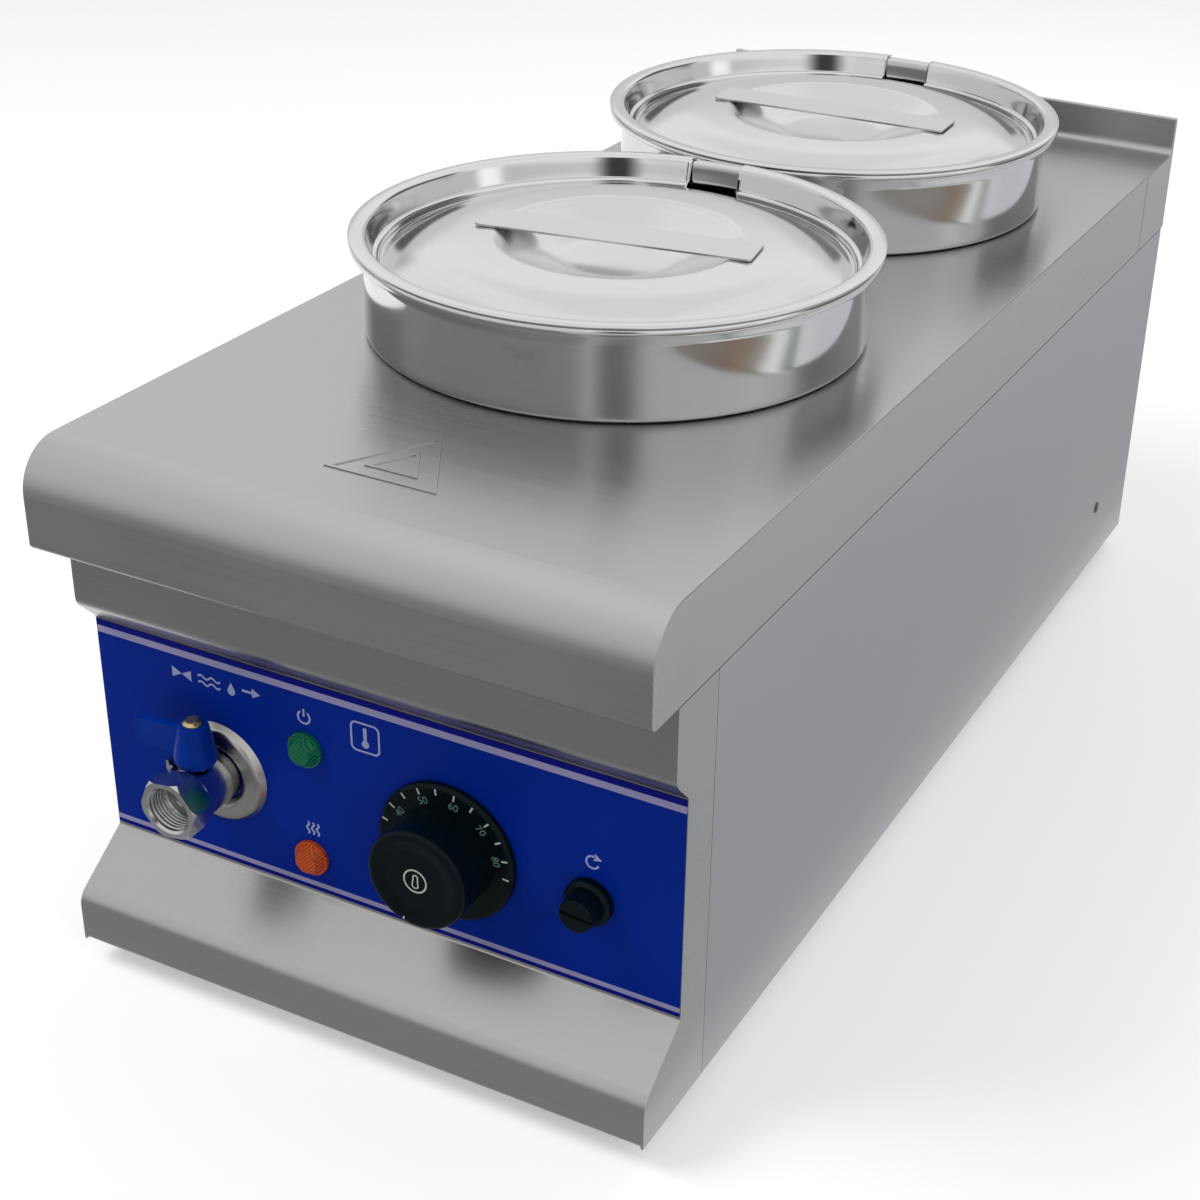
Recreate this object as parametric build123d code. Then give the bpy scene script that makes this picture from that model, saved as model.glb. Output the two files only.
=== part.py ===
from build123d import *
from math import cos, radians, sin, sqrt, tan
import os

# Countertop wet bain marie with two round pots. Millimetres, +Z up, controls at -Y.
# The origin is the centre of the bounding box at the level of the feet.

# Cabinet
width = 300.0
depth = 690.0
body_height = 254.6
foot_height = 12.0
sheet = 1.2
side_inset = 0.5
seam = 0.3
slip = 0.4
flange_width = 12.0

# Worktop
nose_radius = 22.0
skirt_height = 47.1
lip_depth = 14.0
fold_radius = 3.0
edge_radius = 1.0
end_radius = 0.8
upstand_height = 22.5
upstand_thickness = 3.0
cove_radius = 5.0
rear_seam_setback = 54.5
seam_groove = 0.8
groove_depth = 0.3
mark_side = 55.0
mark_inner_side = 26.0
mark_ridge = 1.8
mark_height = 0.5
mark_x = -4.4
mark_setback = 67.0

# Fascia, each setback measured from the worktop's front face
strip_setback = 22.7
strip_height = 36.5
panel_setback = 34.0
step_height = 11.8
panel_bottom = 46.7
toe_setback = 2.4
toe_corner = 24.0
toe_radius = 10.0
strip_bend = 8.0
panel_bend = 1.5
cheek_depth = 57.5
label_thickness = 0.4
label_margin = 0.5
label_bottom = 48.6
label_top = 158.2

# Side, rear and base panels
rear_recess = 12.8
lap = 10.0
base_wall = 50.0
top_flange = 34.0
vent_length = 60.0
vent_width = 4.0
vent_pitch = 12.0
vent_count = 8
base_vent_setback = 207.0
base_vent_rows = 172.5
rear_vent_x = 36.0
rear_vent_height = 34.0
rear_vent_z = 40.0

# Water tank
tank_width = 276.0
tank_front = 100.0
tank_back_inset = 25.0
tank_floor = 84.8
tank_wall = 1.0
tank_flange = 8.0
tank_corner = 25.0
tank_bend = 6.0

# Pots, which hang a little to the left of the middle
pot_x = -4.5
pot_setback = 255.0
pot_pitch = 256.0
pot_sheet = 0.8
pot_body_radius = 112.0
pot_drop = 102.0
pot_foot_bend = 10.0
pot_shoulder_radius = 119.3
pot_shoulder_bend = 3.5
pot_neck_radius = 122.6
pot_rim_radius = 127.0
pot_rim_height = 46.6
pot_rim_curl = 3.0
pot_seat_bend = 1.0
pot_neck_bend = 1.6
curl_bend = 0.9
hole_clearance = 1.0
seat_gap = 0.3

# Lids, heights measured up from the pot's rim
lid_sheet = 0.8
lid_rim_radius = 126.7
lid_wall_radius = 119.7
lid_ledge_radius = 116.6
lid_ledge_drop = 10.6
lid_step_radius = 114.2
lid_trough_radius = 111.0
lid_trough_drop = 14.3
lid_dome_radius = 88.0
lid_dome_drop = 3.9
lid_crest_radius = 59.5
lid_crest_drop = 3.0
lid_dish_radius = 30.0
lid_dish_drop = 13.9
lid_dish_bend = 30.0
lid_crest_bend = 7.0
lid_dome_bend = 60.0
lid_trough_bend = 4.0
lid_step_bend = 1.0
lid_ledge_bend = 1.2
lid_wall_bend = 1.6
lid_step_draft = 0.6
lid_step_sink = 0.2
lid_ledge_sink = 0.3
ladle_notch = 27.0
front_notch_turn = 3.4
rear_notch_turn = 1.0
strap_length = 137.0
strap_width = 25.0
strap_thickness = 1.0
strap_clip = 1.5
strap_lift = 0.1
front_strap_turn = 9.75
rear_strap_turn = 3.15

# Drain valve, reaches measured forward from the control panel
drain_x = -85.4
drain_z = 97.0
valve_reach = 38.0
hex_across = 27.0
hex_length = 13.0
hex_turn = 8.0
hex_chamfer = 1.4
outlet_radius = 10.5
outlet_depth = 12.0
outlet_chamfer = 1.0
valve_body_radius = 13.0
valve_back_reach = 7.0
valve_body_chamfer = 1.0
valve_port_radius = 6.0
boss_radius = 6.0
boss_depth = 4.0
stop_inset = 7.9
stop_width = 3.3
stop_front = 7.0
stop_thickness = 4.0
stop_foot = 3.0
stop_riser = 1.4
stop_riser_height = 2.0
ball_reach = 16.0
ball_radius = 7.5
ball_bore = 5.0
ball_gap = 0.3
seat_width = 3.5
chamber_radius = 8.35
tail_radius = 12.4
tail_length = 15.0
pipe_socket = 6.0
drain_pipe_radius = 10.65
drain_pipe_wall = 2.65
rosette_radius = 25.4
rosette_height = 4.6
rosette_bore = 13.8
rosette_sheet = 0.8
rosette_edge = 2.4
rosette_edge_rise = 1.0
rosette_edge_bend = 3.5
rosette_lip = 2.2
rosette_lip_bend = 2.5
rosette_lip_drop = 3.4
stem_radius = 3.0
stem_seat = 0.5
stem_proud = 0.6
running = 0.05
packing_across = 11.0
packing_height = 3.0
hub_height = 20.0
hub_base_radius = 8.6
hub_waist_radius = 9.8
hub_top_radius = 6.6
hub_foot_bend = 1.0
hub_waist_low = 3.0
hub_waist_high = 6.0
hub_waist_bend = 2.5
hub_waist_draft = 0.4
blade_length = 32.0
blade_height = 11.7
blade_thickness = 4.0
blade_end_rise = 3.3
blade_end_bend = 2.0
blade_top_root = 12.0
blade_top_drop = 3.5
blade_low_root = 14.0
blade_low_rise = 2.6
blade_root_bend = 20.0
lever_nut_radius = 4.6
lever_nut_slope = 1.4
lever_nut_edge = 0.7
lever_nut_height = 1.8
locknut_across = 32.0
locknut_thickness = 5.0

# Controls, places measured from the cabinet's centre line and the body's lower edge
knob_x = 36.0
knob_z = 95.6
knob_reach = 27.7
knob_radius = 24.2
knob_base_radius = 23.4
knob_wall = 5.0
knob_hub_radius = 7.0
dial_radius = 34.0
dial_reach = 4.4
dial_sheet = 1.2
dial_rim = 2.5
dial_gap = 0.4
dial_edge = 1.5
knob_dish = 0.8
knob_dish_radius = 15.0
knob_land_radius = 20.0
knob_skin = 3.5
knob_skin_bend = 2.0
knob_dish_bend = 6.0
knob_land_bend = 3.0
knob_edge_bend = 2.6
spigot_radius = 19.9
shaft_radius = 3.0
shaft_flat = 1.4
bushing_radius = 5.0
bushing_reach = 2.6
shaft_socket = 9.0
thermostat_width = 44.0
thermostat_height = 34.0
thermostat_depth = 25.0
thermostat_screw_pitch = 28.0
thermostat_flange = 1.5
thermostat_shoulder = 3.0
thermostat_tab_place = 12.0
reset_x = 105.8
reset_z = 94.0
reset_nut_radius = 11.2
reset_nut_edge = 1.5
reset_nut_height = 5.2
reset_cap_radius = 8.3
reset_cap_reach = 14.2
reset_cap_wall = 1.9
reset_cap_edge = 0.8
reset_slot = 1.6
reset_slot_depth = 1.1
reset_slot_turn = 5.0
reset_bush_reach = 9.4
reset_pin_radius = 1.6
reset_pin_reach = 11.5
reset_pin_travel = 2.0
reset_pin_tail = 6.0
limiter_side = 28.0
limiter_depth = 23.0
limiter_tab_place = 8.0
lamp_x = -36.8
green_lamp_z = 124.0
orange_lamp_z = 66.6
lamp_lens_radius = 8.7
lamp_lens_reach = 6.0
lamp_body_radius = 6.0
lamp_neck_radius = 5.0
lamp_body_length = 22.0
lamp_facets = 12
lamp_lens_face = 5.3
lamp_lens_rim = 2.0
lamp_lens_skin = 1.5
lamp_lens_step = 1.0
lamp_clip_width = 3.5
lamp_clip_thickness = 1.2
lamp_tab_place = 3.0
hole_gap = 0.3
tab_width = 6.0
tab_thickness = 0.8
tab_length = 7.0

# Element, probe and wiring
element_radius = 4.25
element_height = 101.0
element_left = 15.0
element_right = 85.0
element_end_gap = 65.0
gland_radius = 7.0
gland_flange_radius = 9.5
gland_flange = 3.0
seal_thickness = 1.5
gland_nut_across = 19.0
gland_nut_thickness = 5.0
gland_reach = 14.0
pin_reach = 20.0
probe_radius = 3.0
probe_length = 90.0
probe_x = 55.0
probe_height = 118.0
probe_setback = 32.0
probe_gland_flange = 2.0
probe_gland_radius = 3.5
capillary_rise = 8.0
capillary_run = 12.0
capillary_gap = 1.2
capillary_radius = 1.0
post_width = 12.0
post_foot = 8.0
post_crown = 3.0
post_setback = 45.0
post_pitch = 55.0
block_length = 60.0
block_width = 20.0
block_height = 18.0
block_step = 6.0
block_x = 30.0
block_inset = 130.0
block_pole = 14.0
block_way_height = 7.0
block_way_gap = 0.6
stud_radius = 2.5
stud_length = 16.0
stud_x = 15.0
stud_gap = 30.0
small_nut_across = 8.0
small_nut_thickness = 4.0
wire_radius = 1.2
lead_sag = 40.0
lead_dip = 12.0
lead_start = 60.0
lead_sweep = 240.0
lead_end = 12.0
lead_spread = 22.0
lead_loop = 2.0
inlet_x = -100.0
inlet_height = 38.0
inlet_across = 22.0
inlet_bore = 4.0
inlet_radius = 7.8
inlet_reach = 11.0
inlet_collar = 5.0
inlet_dome = 1.4
inlet_dome_length = 3.0
inlet_lip = 2.5
inlet_thread = 9.0
inlet_nut_thickness = 4.0

# Feet and screws
foot_inset_x = 35.0
foot_inset_y = 48.0
foot_radius = 16.0
foot_tip_radius = 13.0
foot_counterbore = 6.0
foot_counterbore_gap = 2.0
foot_tip_bend = 1.5
foot_top_bend = 1.0
foot_screw_proud = 2.0
screw_radius = 2.0
screw_head_radius = 3.5
screw_head_height = 1.7
screw_slot = 0.8
screw_length = 5.0
thermostat_screw_length = 6.0
rear_screw_low = 20.0
rear_screw_pitch = 85.0
rear_screw_count = 3
side_screw_inset = 68.0
side_screw_height = 40.0
side_screw_proud = 0.4

# Places worked out from the sizes above
outlet_proud = valve_reach - panel_setback
front_y = (outlet_proud - depth) / 2
back_y = front_y + depth
base_z = foot_height
top_z = base_z + body_height
skirt_z = top_z - skirt_height
half = width / 2
side_x = half - side_inset
inner_x = side_x - sheet
panel_y = front_y + panel_setback
label_y = panel_y - label_thickness
cheek_y = front_y + cheek_depth
cheek_top = skirt_z - seam * 2
rear_y = back_y - rear_recess
rear_inner_y = rear_y - sheet
side_back_y = back_y - sheet - 0.2
under_z = top_z - sheet
tank_y0 = front_y + tank_front
tank_y1 = back_y - tank_back_inset
tank_z0 = base_z + tank_floor
pot_ys = (front_y + pot_setback, front_y + pot_setback + pot_pitch)
pot_hole_radius = pot_body_radius + hole_clearance
rim_z = top_z + seat_gap + pot_rim_height
drain_axis_z = base_z + drain_z
stem_y = panel_y - ball_reach
knob_axis_z = base_z + knob_z
reset_axis_z = base_z + reset_z
lamp_zs = (base_z + green_lamp_z, base_z + orange_lamp_z)
element_z = base_z + element_height
probe_z = base_z + probe_height
inlet_z = base_z + inlet_height
block_y = back_y - block_inset
block_z = base_z + 2 * sheet
side_screw_y = back_y - side_screw_inset
side_screw_z = base_z + side_screw_height
lever_base_z = drain_axis_z + valve_body_radius + slip
lever_top_z = lever_base_z + hub_height


# Shared outlines and solids

def outline(corners):
    """Face through corners in order, each a point and an optional round."""
    count = len(corners)
    starts, ends, middles = [], [], []
    for index, corner in enumerate(corners):
        here = Vector(corner[0], corner[1])
        before = (Vector(*corners[index - 1][:2]) - here).normalized()
        after = (Vector(*corners[(index + 1) % count][:2]) - here).normalized()
        round_radius = corner[2] if len(corner) > 2 else 0
        half_angle = radians(before.get_angle(after)) / 2
        setback = round_radius / tan(half_angle) if round_radius else 0
        bisector = (before + after).normalized() if round_radius else before
        starts.append(here + before * setback)
        ends.append(here + after * setback)
        middles.append(here + bisector * (round_radius / sin(half_angle) - round_radius))
    edges = []
    for index in range(count):
        if (ends[index] - starts[index]).length > 1e-6:
            edges.append(ThreePointArc(starts[index], middles[index], ends[index]))
        edges.append(Line(ends[index], starts[(index + 1) % count]))
    return make_face(Curve() + edges)


def folded(path, thickness):
    """Face of a sheet of even thickness on the left of a path of points and rounds."""
    points = [Vector(point[0], point[1]) for point in path]
    ways = [(b - a).normalized() for a, b in zip(points, points[1:])]
    lefts = [Vector(-way.Y, way.X) for way in ways]
    far_side = [(*tuple(points[0] + lefts[0] * thickness)[:2], 0)]
    for index in range(1, len(points) - 1):
        before, after = lefts[index - 1], lefts[index]
        shift = (before + after) * (thickness / (1 + before.dot(after)))
        turn = ways[index - 1].X * ways[index].Y - ways[index - 1].Y * ways[index].X
        round_radius = path[index][2] if len(path[index]) > 2 else 0
        if round_radius:
            round_radius = max(round_radius - thickness, 0) if turn > 0 else round_radius + thickness
        far_side.append((*tuple(points[index] + shift)[:2], round_radius))
    far_side.append((*tuple(points[-1] + lefts[-1] * thickness)[:2], 0))
    return outline([tuple(point) for point in path] + far_side[::-1])


def block(x0, x1, y0, y1, z0, z1):
    """Box between two corners."""
    return Pos((x0 + x1) / 2, (y0 + y1) / 2, (z0 + z1) / 2) * Box(x1 - x0, y1 - y0, z1 - z0)


def prism_x(face, x0, x1):
    """Solid of an outline drawn in Y and Z, between two X places."""
    return Pos(x0, 0, 0) * extrude(Plane.YZ * face, x1 - x0)


def prism_z(face, z0, z1):
    """Solid of an outline drawn in X and Y, between two heights."""
    return Pos(0, 0, z0) * extrude(face, z1 - z0)


def rod_y(x, z, y0, y1, radius):
    """Cylinder along Y."""
    return Pos(x, (y0 + y1) / 2, z) * Rot(90, 0, 0) * Cylinder(radius, y1 - y0)


def rod_x(y, z, x0, x1, radius):
    """Cylinder along X."""
    return Pos((x0 + x1) / 2, y, z) * Rot(0, 90, 0) * Cylinder(radius, x1 - x0)


def post(x, y, z0, z1, radius):
    """Upright cylinder."""
    return Pos(x, y, (z0 + z1) / 2) * Cylinder(radius, z1 - z0)


def hex_y(x, z, y0, y1, across, turn=0):
    """Hexagonal bar along Y, measured across its flats."""
    section = Rot(0, 0, turn) * RegularPolygon(across / sqrt(3), 6)
    return Pos(x, y1, z) * Rot(90, 0, 0) * extrude(section, y1 - y0)


def hex_z(x, y, z0, z1, across):
    """Upright hexagonal bar, measured across its flats."""
    return Pos(x, y, z0) * extrude(RegularPolygon(across / sqrt(3), 6), z1 - z0)


def turned_y(corners, x, z):
    """Solid of revolution about a Y axis; corners are radius, Y and round."""
    return Pos(x, 0, z) * revolve(outline(corners), Axis.Y, 360)


def turned_z(face, x, y):
    """Solid of revolution about an upright axis, from a face in radius and Z."""
    return Pos(x, y, 0) * revolve(Plane.XZ * face, Axis.Z, 360)


def corner_radii(points):
    """Largest bend at each inner point that its two runs leave room for."""
    radii = []
    for a, b, c in zip(points, points[1:], points[2:]):
        first, second = Vector(*b) - Vector(*a), Vector(*c) - Vector(*b)
        turn = radians(first.get_angle(second))
        radii.append(0.45 * min(first.length, second.length) / tan(turn / 2))
    return radii


def tube(points, radius):
    """Round bar along straight runs joined by tangent arcs."""
    path = FilletPolyline(*points, radius=corner_radii(points))
    start = Plane(origin=points[0], z_dir=Vector(*points[1]) - Vector(*points[0]))
    return sweep(start * Circle(radius), path)


def joined(solids):
    """Separate solids of one node."""
    total = solids[0]
    for solid in solids[1:]:
        total += solid
    return total


def pan_screw_y(x, z, face_y, way, length):
    """Pan-head screw along Y; way is the side the head stands on."""
    head = rod_y(x, z, *sorted((face_y, face_y + way * screw_head_height)), screw_head_radius)
    shank = rod_y(x, z, *sorted((face_y, face_y - way * length)), screw_radius)
    slot = block(x - screw_head_radius, x + screw_head_radius,
                 *sorted((face_y + way * screw_head_height / 2, face_y + way * screw_head_height)),
                 z - screw_slot / 2, z + screw_slot / 2)
    return head + shank - slot


# Worktop: one pressed and folded sheet with a rounded nose, side skirts and rear upstand

def make_worktop():
    crown = top_z + upstand_height
    section = [(front_y, skirt_z, fold_radius), (back_y, skirt_z), (back_y, crown, edge_radius),
               (back_y - upstand_thickness, crown, edge_radius),
               (back_y - upstand_thickness, top_z, cove_radius), (front_y, top_z, nose_radius)]
    body = prism_x(outline(section), -half, half)
    ends = body.faces().sort_by(Axis.X)
    rims = [edge for face in (ends[0], ends[-1]) for edge in face.edges()
            if edge.center().Z > skirt_z + sheet and edge.center().Y < back_y - upstand_thickness / 2]
    body = fillet(rims, end_radius)
    lip_y = front_y + lip_depth
    hollow = [(front_y + sheet, skirt_z + sheet, fold_radius - sheet), (lip_y, skirt_z + sheet),
              (lip_y, skirt_z - sheet), (back_y - sheet, skirt_z - sheet),
              (back_y - sheet, under_z), (front_y + sheet, under_z, nose_radius - sheet)]
    body -= prism_x(outline(hollow), sheet - half, half - sheet)
    for pot_y in pot_ys:
        body -= post(pot_x, pot_y, under_z - sheet, top_z + sheet, pot_hole_radius)
    groove_y = back_y - rear_seam_setback
    for side in (-1, 1):
        edge = sorted((side * half, side * (half - groove_depth)))
        body -= block(*edge, groove_y, groove_y + seam_groove, skirt_z, top_z - edge_radius)
    place = Pos(mark_x, front_y + mark_setback, top_z)
    for side_length in (mark_side, mark_inner_side):
        outer = RegularPolygon(side_length / sqrt(3), 3, rotation=90)
        inner = RegularPolygon(side_length / sqrt(3) - 2 * mark_ridge, 3, rotation=90)
        body += place * extrude(outer - inner, mark_height)
    return body


# Fascia: folded front with its two cheeks, pierced for the valve and the controls

def make_fascia():
    strip_y = front_y + strip_setback
    toe_y = front_y + toe_setback
    strip_low = skirt_z - strip_height
    panel_top = strip_low - step_height
    face = [(toe_y, base_z + toe_corner, toe_radius), (panel_y, base_z + panel_bottom, panel_bend),
            (panel_y, panel_top, panel_bend), (strip_y, strip_low, strip_bend)]
    path = [(toe_y + flange_width, base_z), (toe_y, base_z, 2 * sheet)] + face
    path += [(strip_y, under_z, 2 * sheet), (strip_y + flange_width, under_z)]
    front = prism_x(folded(path, -sheet), -side_x, side_x)
    for side in (-1, 1):
        edge = sorted((side * half, side * (half - sheet - 2 * slip)))
        front -= block(*edge, front_y, cheek_y, cheek_top, top_z)
    cheek = [(toe_y, base_z), (cheek_y, base_z), (cheek_y, cheek_top), (strip_y, cheek_top)] + face[::-1]
    for side in (-1, 1):
        front += prism_x(outline(cheek), *sorted((side * side_x, side * inner_x)))
    for hole in control_holes():
        front -= hole
    return front


def control_holes():
    """Holes through the panel and its label."""
    y0, y1 = label_y - 1, panel_y + sheet + 1
    holes = [rod_y(drain_x, drain_axis_z, y0, y1, tail_radius + hole_gap),
             rod_y(knob_x, knob_axis_z, y0, y1, bushing_radius + hole_gap),
             rod_y(reset_x, reset_axis_z, y0, y1, bushing_radius + hole_gap)]
    for side in (-1, 1):
        screw_x = knob_x + side * thermostat_screw_pitch / 2
        holes.append(rod_y(screw_x, knob_axis_z, y0, y1, screw_radius + hole_gap))
    for lamp_z in lamp_zs:
        holes.append(rod_y(lamp_x, lamp_z, y0, y1, lamp_body_radius + hole_gap))
    return holes


def make_label():
    edge = side_x - label_margin
    film = block(-edge, edge, label_y, panel_y, base_z + label_bottom, base_z + label_top)
    for hole in control_holes():
        film -= hole
    return film


# Side panels, rear panel and base tray

def make_side_panel(side):
    y0 = cheek_y + seam
    plate = block(inner_x, side_x, y0, side_back_y, base_z, cheek_top)
    flange_x = half - sheet - slip
    upper_z = cheek_top + top_flange
    plate += block(flange_x - sheet, side_x, y0, rear_inner_y - lap, cheek_top - sheet, cheek_top)
    plate += block(flange_x - sheet, flange_x, y0, rear_inner_y - lap, cheek_top - sheet, upper_z)
    plate += block(inner_x - lap, inner_x, y0, side_back_y, base_z, base_z + sheet)
    plate += block(inner_x - sheet, inner_x, y0 - lap, y0 + lap / 2, base_z + lap / 2, cheek_top - 2 * sheet)
    plate += block(inner_x - flange_width, inner_x, rear_inner_y - sheet, rear_inner_y,
                   base_z + lap / 2, cheek_top - 2 * sheet)
    plate -= rod_x(side_screw_y, side_screw_z, inner_x - 1, side_x + 1, screw_radius + hole_gap)
    for screw_z in rear_screw_zs():
        plate -= rod_y(inner_x - flange_width / 2, screw_z, rear_inner_y - 2 * sheet, rear_y,
                       screw_radius + hole_gap)
    return plate if side > 0 else mirror(plate, Plane.YZ)


def rear_screw_zs():
    return [base_z + rear_screw_low + index * rear_screw_pitch for index in range(rear_screw_count)]


def make_rear_panel():
    panel = block(-inner_x, inner_x, rear_inner_y, rear_y, base_z + sheet, under_z)
    for side in (-1, 1):
        for screw_z in rear_screw_zs():
            panel -= rod_y(side * (inner_x - flange_width / 2), screw_z, rear_inner_y - 1, rear_y + 1,
                           screw_radius + hole_gap)
    vent_z = base_z + rear_vent_z
    for index in range(vent_count):
        x = (index - (vent_count - 1) / 2) * vent_pitch + rear_vent_x
        slot = block(x - vent_width / 2, x + vent_width / 2, rear_inner_y - 1, rear_y + 1,
                     vent_z, vent_z + rear_vent_height)
        panel -= slot
    panel -= rod_y(inlet_x, inlet_z, rear_inner_y - 1, rear_y + 1, inlet_radius + hole_gap / 3)
    return panel


def make_base():
    floor_z = base_z + sheet
    y0 = front_y + toe_setback + 2 * sheet
    tray = block(-inner_x, inner_x, y0, rear_inner_y, floor_z, floor_z + sheet)
    wall_y0 = cheek_y + lap
    wall_y1 = rear_inner_y - 2 * sheet
    for side in (-1, 1):
        edge = sorted((side * inner_x, side * (inner_x - sheet)))
        tray += block(*edge, wall_y0, wall_y1, floor_z + sheet, floor_z + base_wall)
        tray -= rod_x(side_screw_y, side_screw_z, *sorted((side * half, side * (inner_x - 2 * sheet))),
                      screw_radius + hole_gap)
    for x, y in foot_places():
        tray -= post(x, y, base_z, floor_z + 2 * sheet, screw_radius + hole_gap)
    for row in range(2):
        row_y = front_y + base_vent_setback + row * base_vent_rows
        for index in range(vent_count):
            x = (index - (vent_count - 1) / 2) * vent_pitch
            tray -= block(x - vent_width / 2, x + vent_width / 2, row_y, row_y + vent_length,
                          base_z, floor_z + 2 * sheet)
    return tray


# Water tank: deep-drawn trough hung from the worktop by its flange

def tank_block(inset, flange):
    """Solid with the tank's round corners, smaller by an inset."""
    x = tank_width / 2 - inset
    plan = Pos(0, (tank_y0 + tank_y1) / 2) * RectangleRounded(
        2 * x, tank_y1 - tank_y0 - 2 * inset, tank_corner - inset)
    body = prism_z(plan, tank_z0 + inset, under_z + flange)
    floor_edges = body.faces().sort_by(Axis.Z)[0].edges()
    return fillet(floor_edges, tank_bend - inset)


def make_tank():
    tank = tank_block(0, 0)
    rim = Pos(0, (tank_y0 + tank_y1) / 2) * RectangleRounded(
        tank_width + 2 * tank_flange, tank_y1 - tank_y0 + 2 * tank_flange, tank_corner + tank_flange)
    tank += prism_z(rim, under_z - tank_wall, under_z)
    tank -= tank_block(tank_wall, 1)
    y0, y1 = tank_y0 - 1, tank_y0 + tank_wall + 1
    tank -= rod_y(drain_x, drain_axis_z, y0, y1, drain_pipe_radius + running)
    for x in element_ends():
        tank -= rod_y(x, element_z, y0, y1, gland_radius + hole_gap)
    tank -= rod_y(probe_x, probe_z, y0, y1, probe_gland_radius + hole_gap)
    return tank


# Pots and lids: spun stainless steel

def make_pot(pot_y):
    seat_z = top_z + seat_gap
    path = [(0, seat_z - pot_drop), (pot_body_radius, seat_z - pot_drop, pot_foot_bend),
            (pot_body_radius, seat_z, pot_seat_bend), (pot_shoulder_radius, seat_z, pot_shoulder_bend),
            (pot_neck_radius, rim_z - pot_sheet, pot_neck_bend),
            (pot_rim_radius - pot_sheet, rim_z - pot_sheet, curl_bend),
            (pot_rim_radius - pot_sheet, rim_z - pot_sheet - pot_rim_curl)]
    return turned_z(folded(path, pot_sheet), pot_x, pot_y)


def lid_path():
    """Underside of the lid from its centre to its rim."""
    z = rim_z + seat_gap
    return [(0, z - lid_dish_drop), (lid_dish_radius, z - lid_dish_drop, lid_dish_bend),
            (lid_crest_radius, z - lid_crest_drop, lid_crest_bend),
            (lid_dome_radius, z - lid_dome_drop, lid_dome_bend),
            (lid_trough_radius, z - lid_trough_drop, lid_trough_bend),
            (lid_step_radius - lid_step_draft, z - lid_trough_drop - lid_step_sink, lid_ledge_bend),
            (lid_step_radius, z - lid_ledge_drop - lid_ledge_sink, lid_step_bend),
            (lid_ledge_radius, z - lid_ledge_drop, lid_ledge_bend), (lid_wall_radius, z, lid_wall_bend),
            (lid_rim_radius, z)]


def make_lid(pot_y, notch_turn):
    lid = turned_z(folded(lid_path(), lid_sheet), pot_x, pot_y)
    notch = block(-ladle_notch / 2, ladle_notch / 2, lid_trough_radius, lid_rim_radius + 1,
                  rim_z - lid_dish_drop - lid_trough_drop, rim_z + 2)
    return lid - Pos(pot_x, pot_y, 0) * Rot(0, 0, notch_turn) * notch


def make_strap(pot_y, turn):
    z = rim_z + seat_gap - lid_crest_drop + lid_sheet + strap_lift
    x, y = strap_length / 2, strap_width / 2
    corners = [(-x + strap_clip, -y), (x - strap_clip, -y), (x, -y + strap_clip), (x, y - strap_clip),
               (x - strap_clip, y), (-x + strap_clip, y), (-x, y - strap_clip), (-x, -y + strap_clip)]
    return Pos(pot_x, pot_y, z) * Rot(0, 0, turn) * extrude(outline(corners), strap_thickness)


# Drain: pipe from the tank, ball valve, rosette and lever

def make_valve_body():
    y0 = panel_y - valve_reach
    y1 = panel_y - valve_back_reach
    x, z = drain_x, drain_axis_z
    neck_y = y0 + hex_length
    body = hex_y(x, z, y0, neck_y, hex_across, hex_turn)
    corner = hex_across / sqrt(3)
    inner = corner - hex_chamfer
    body = body & turned_y([(0, y0), (inner, y0), (corner, y0 + hex_chamfer), (corner, neck_y - hex_chamfer),
                            (inner, neck_y), (0, neck_y)], x, z)
    shoulder = valve_body_radius - valve_body_chamfer
    body += turned_y([(0, neck_y), (shoulder, neck_y), (valve_body_radius, neck_y + valve_body_chamfer),
                      (valve_body_radius, y1 - valve_body_chamfer), (shoulder, y1), (0, y1)], x, z)
    stop_x = x - stop_inset
    stop_y = stem_y - stop_front
    crown = z + valve_body_radius
    body += block(stop_x - stop_width, stop_x, stop_y, stop_y + stop_thickness, z + stop_foot, crown)
    body += block(stop_x - stop_width, stop_x - stop_width + stop_riser, stop_y, stop_y + stop_thickness,
                  z + stop_foot, crown + stop_riser_height)
    body += post(x, stem_y, crown - boss_depth, crown, boss_radius)
    body -= rod_y(x, z, y0 - 1, y0 + outlet_depth, outlet_radius)
    body -= turned_y([(0, y0 - 1), (outlet_radius + outlet_chamfer + 1, y0 - 1),
                      (outlet_radius, y0 + outlet_chamfer), (0, y0 + outlet_chamfer)], x, z)
    body -= rod_y(x, z, y0, y1, valve_port_radius)
    body -= rod_y(x, z, stem_y - ball_radius - ball_gap, y1 + 1, chamber_radius)
    body -= post(x, stem_y, z, z + 2 * valve_body_radius, stem_radius + running)
    return body


def make_valve_tail():
    y0 = panel_y - valve_back_reach
    y1 = y0 + tail_length
    socket_y = y0 + pipe_socket
    tail = rod_y(drain_x, drain_axis_z, y0, y1, tail_radius)
    tail -= rod_y(drain_x, drain_axis_z, y0 - 1, y1, drain_pipe_radius - drain_pipe_wall)
    return tail - rod_y(drain_x, drain_axis_z, socket_y, y1 + 1, drain_pipe_radius + running)


def make_valve_seats():
    ball_space = Pos(drain_x, stem_y, drain_axis_z) * Sphere(ball_radius + ball_gap)
    front_y0 = stem_y - ball_radius - ball_gap
    back_y1 = panel_y - valve_back_reach
    rings = []
    for y0, y1 in ((front_y0, front_y0 + seat_width), (back_y1 - seat_width, back_y1)):
        ring = rod_y(drain_x, drain_axis_z, y0, y1, chamber_radius - running)
        ring -= rod_y(drain_x, drain_axis_z, y0 - 1, y1 + 1, ball_bore + running)
        rings.append(ring - ball_space)
    return rings[0] + rings[1]


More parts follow.
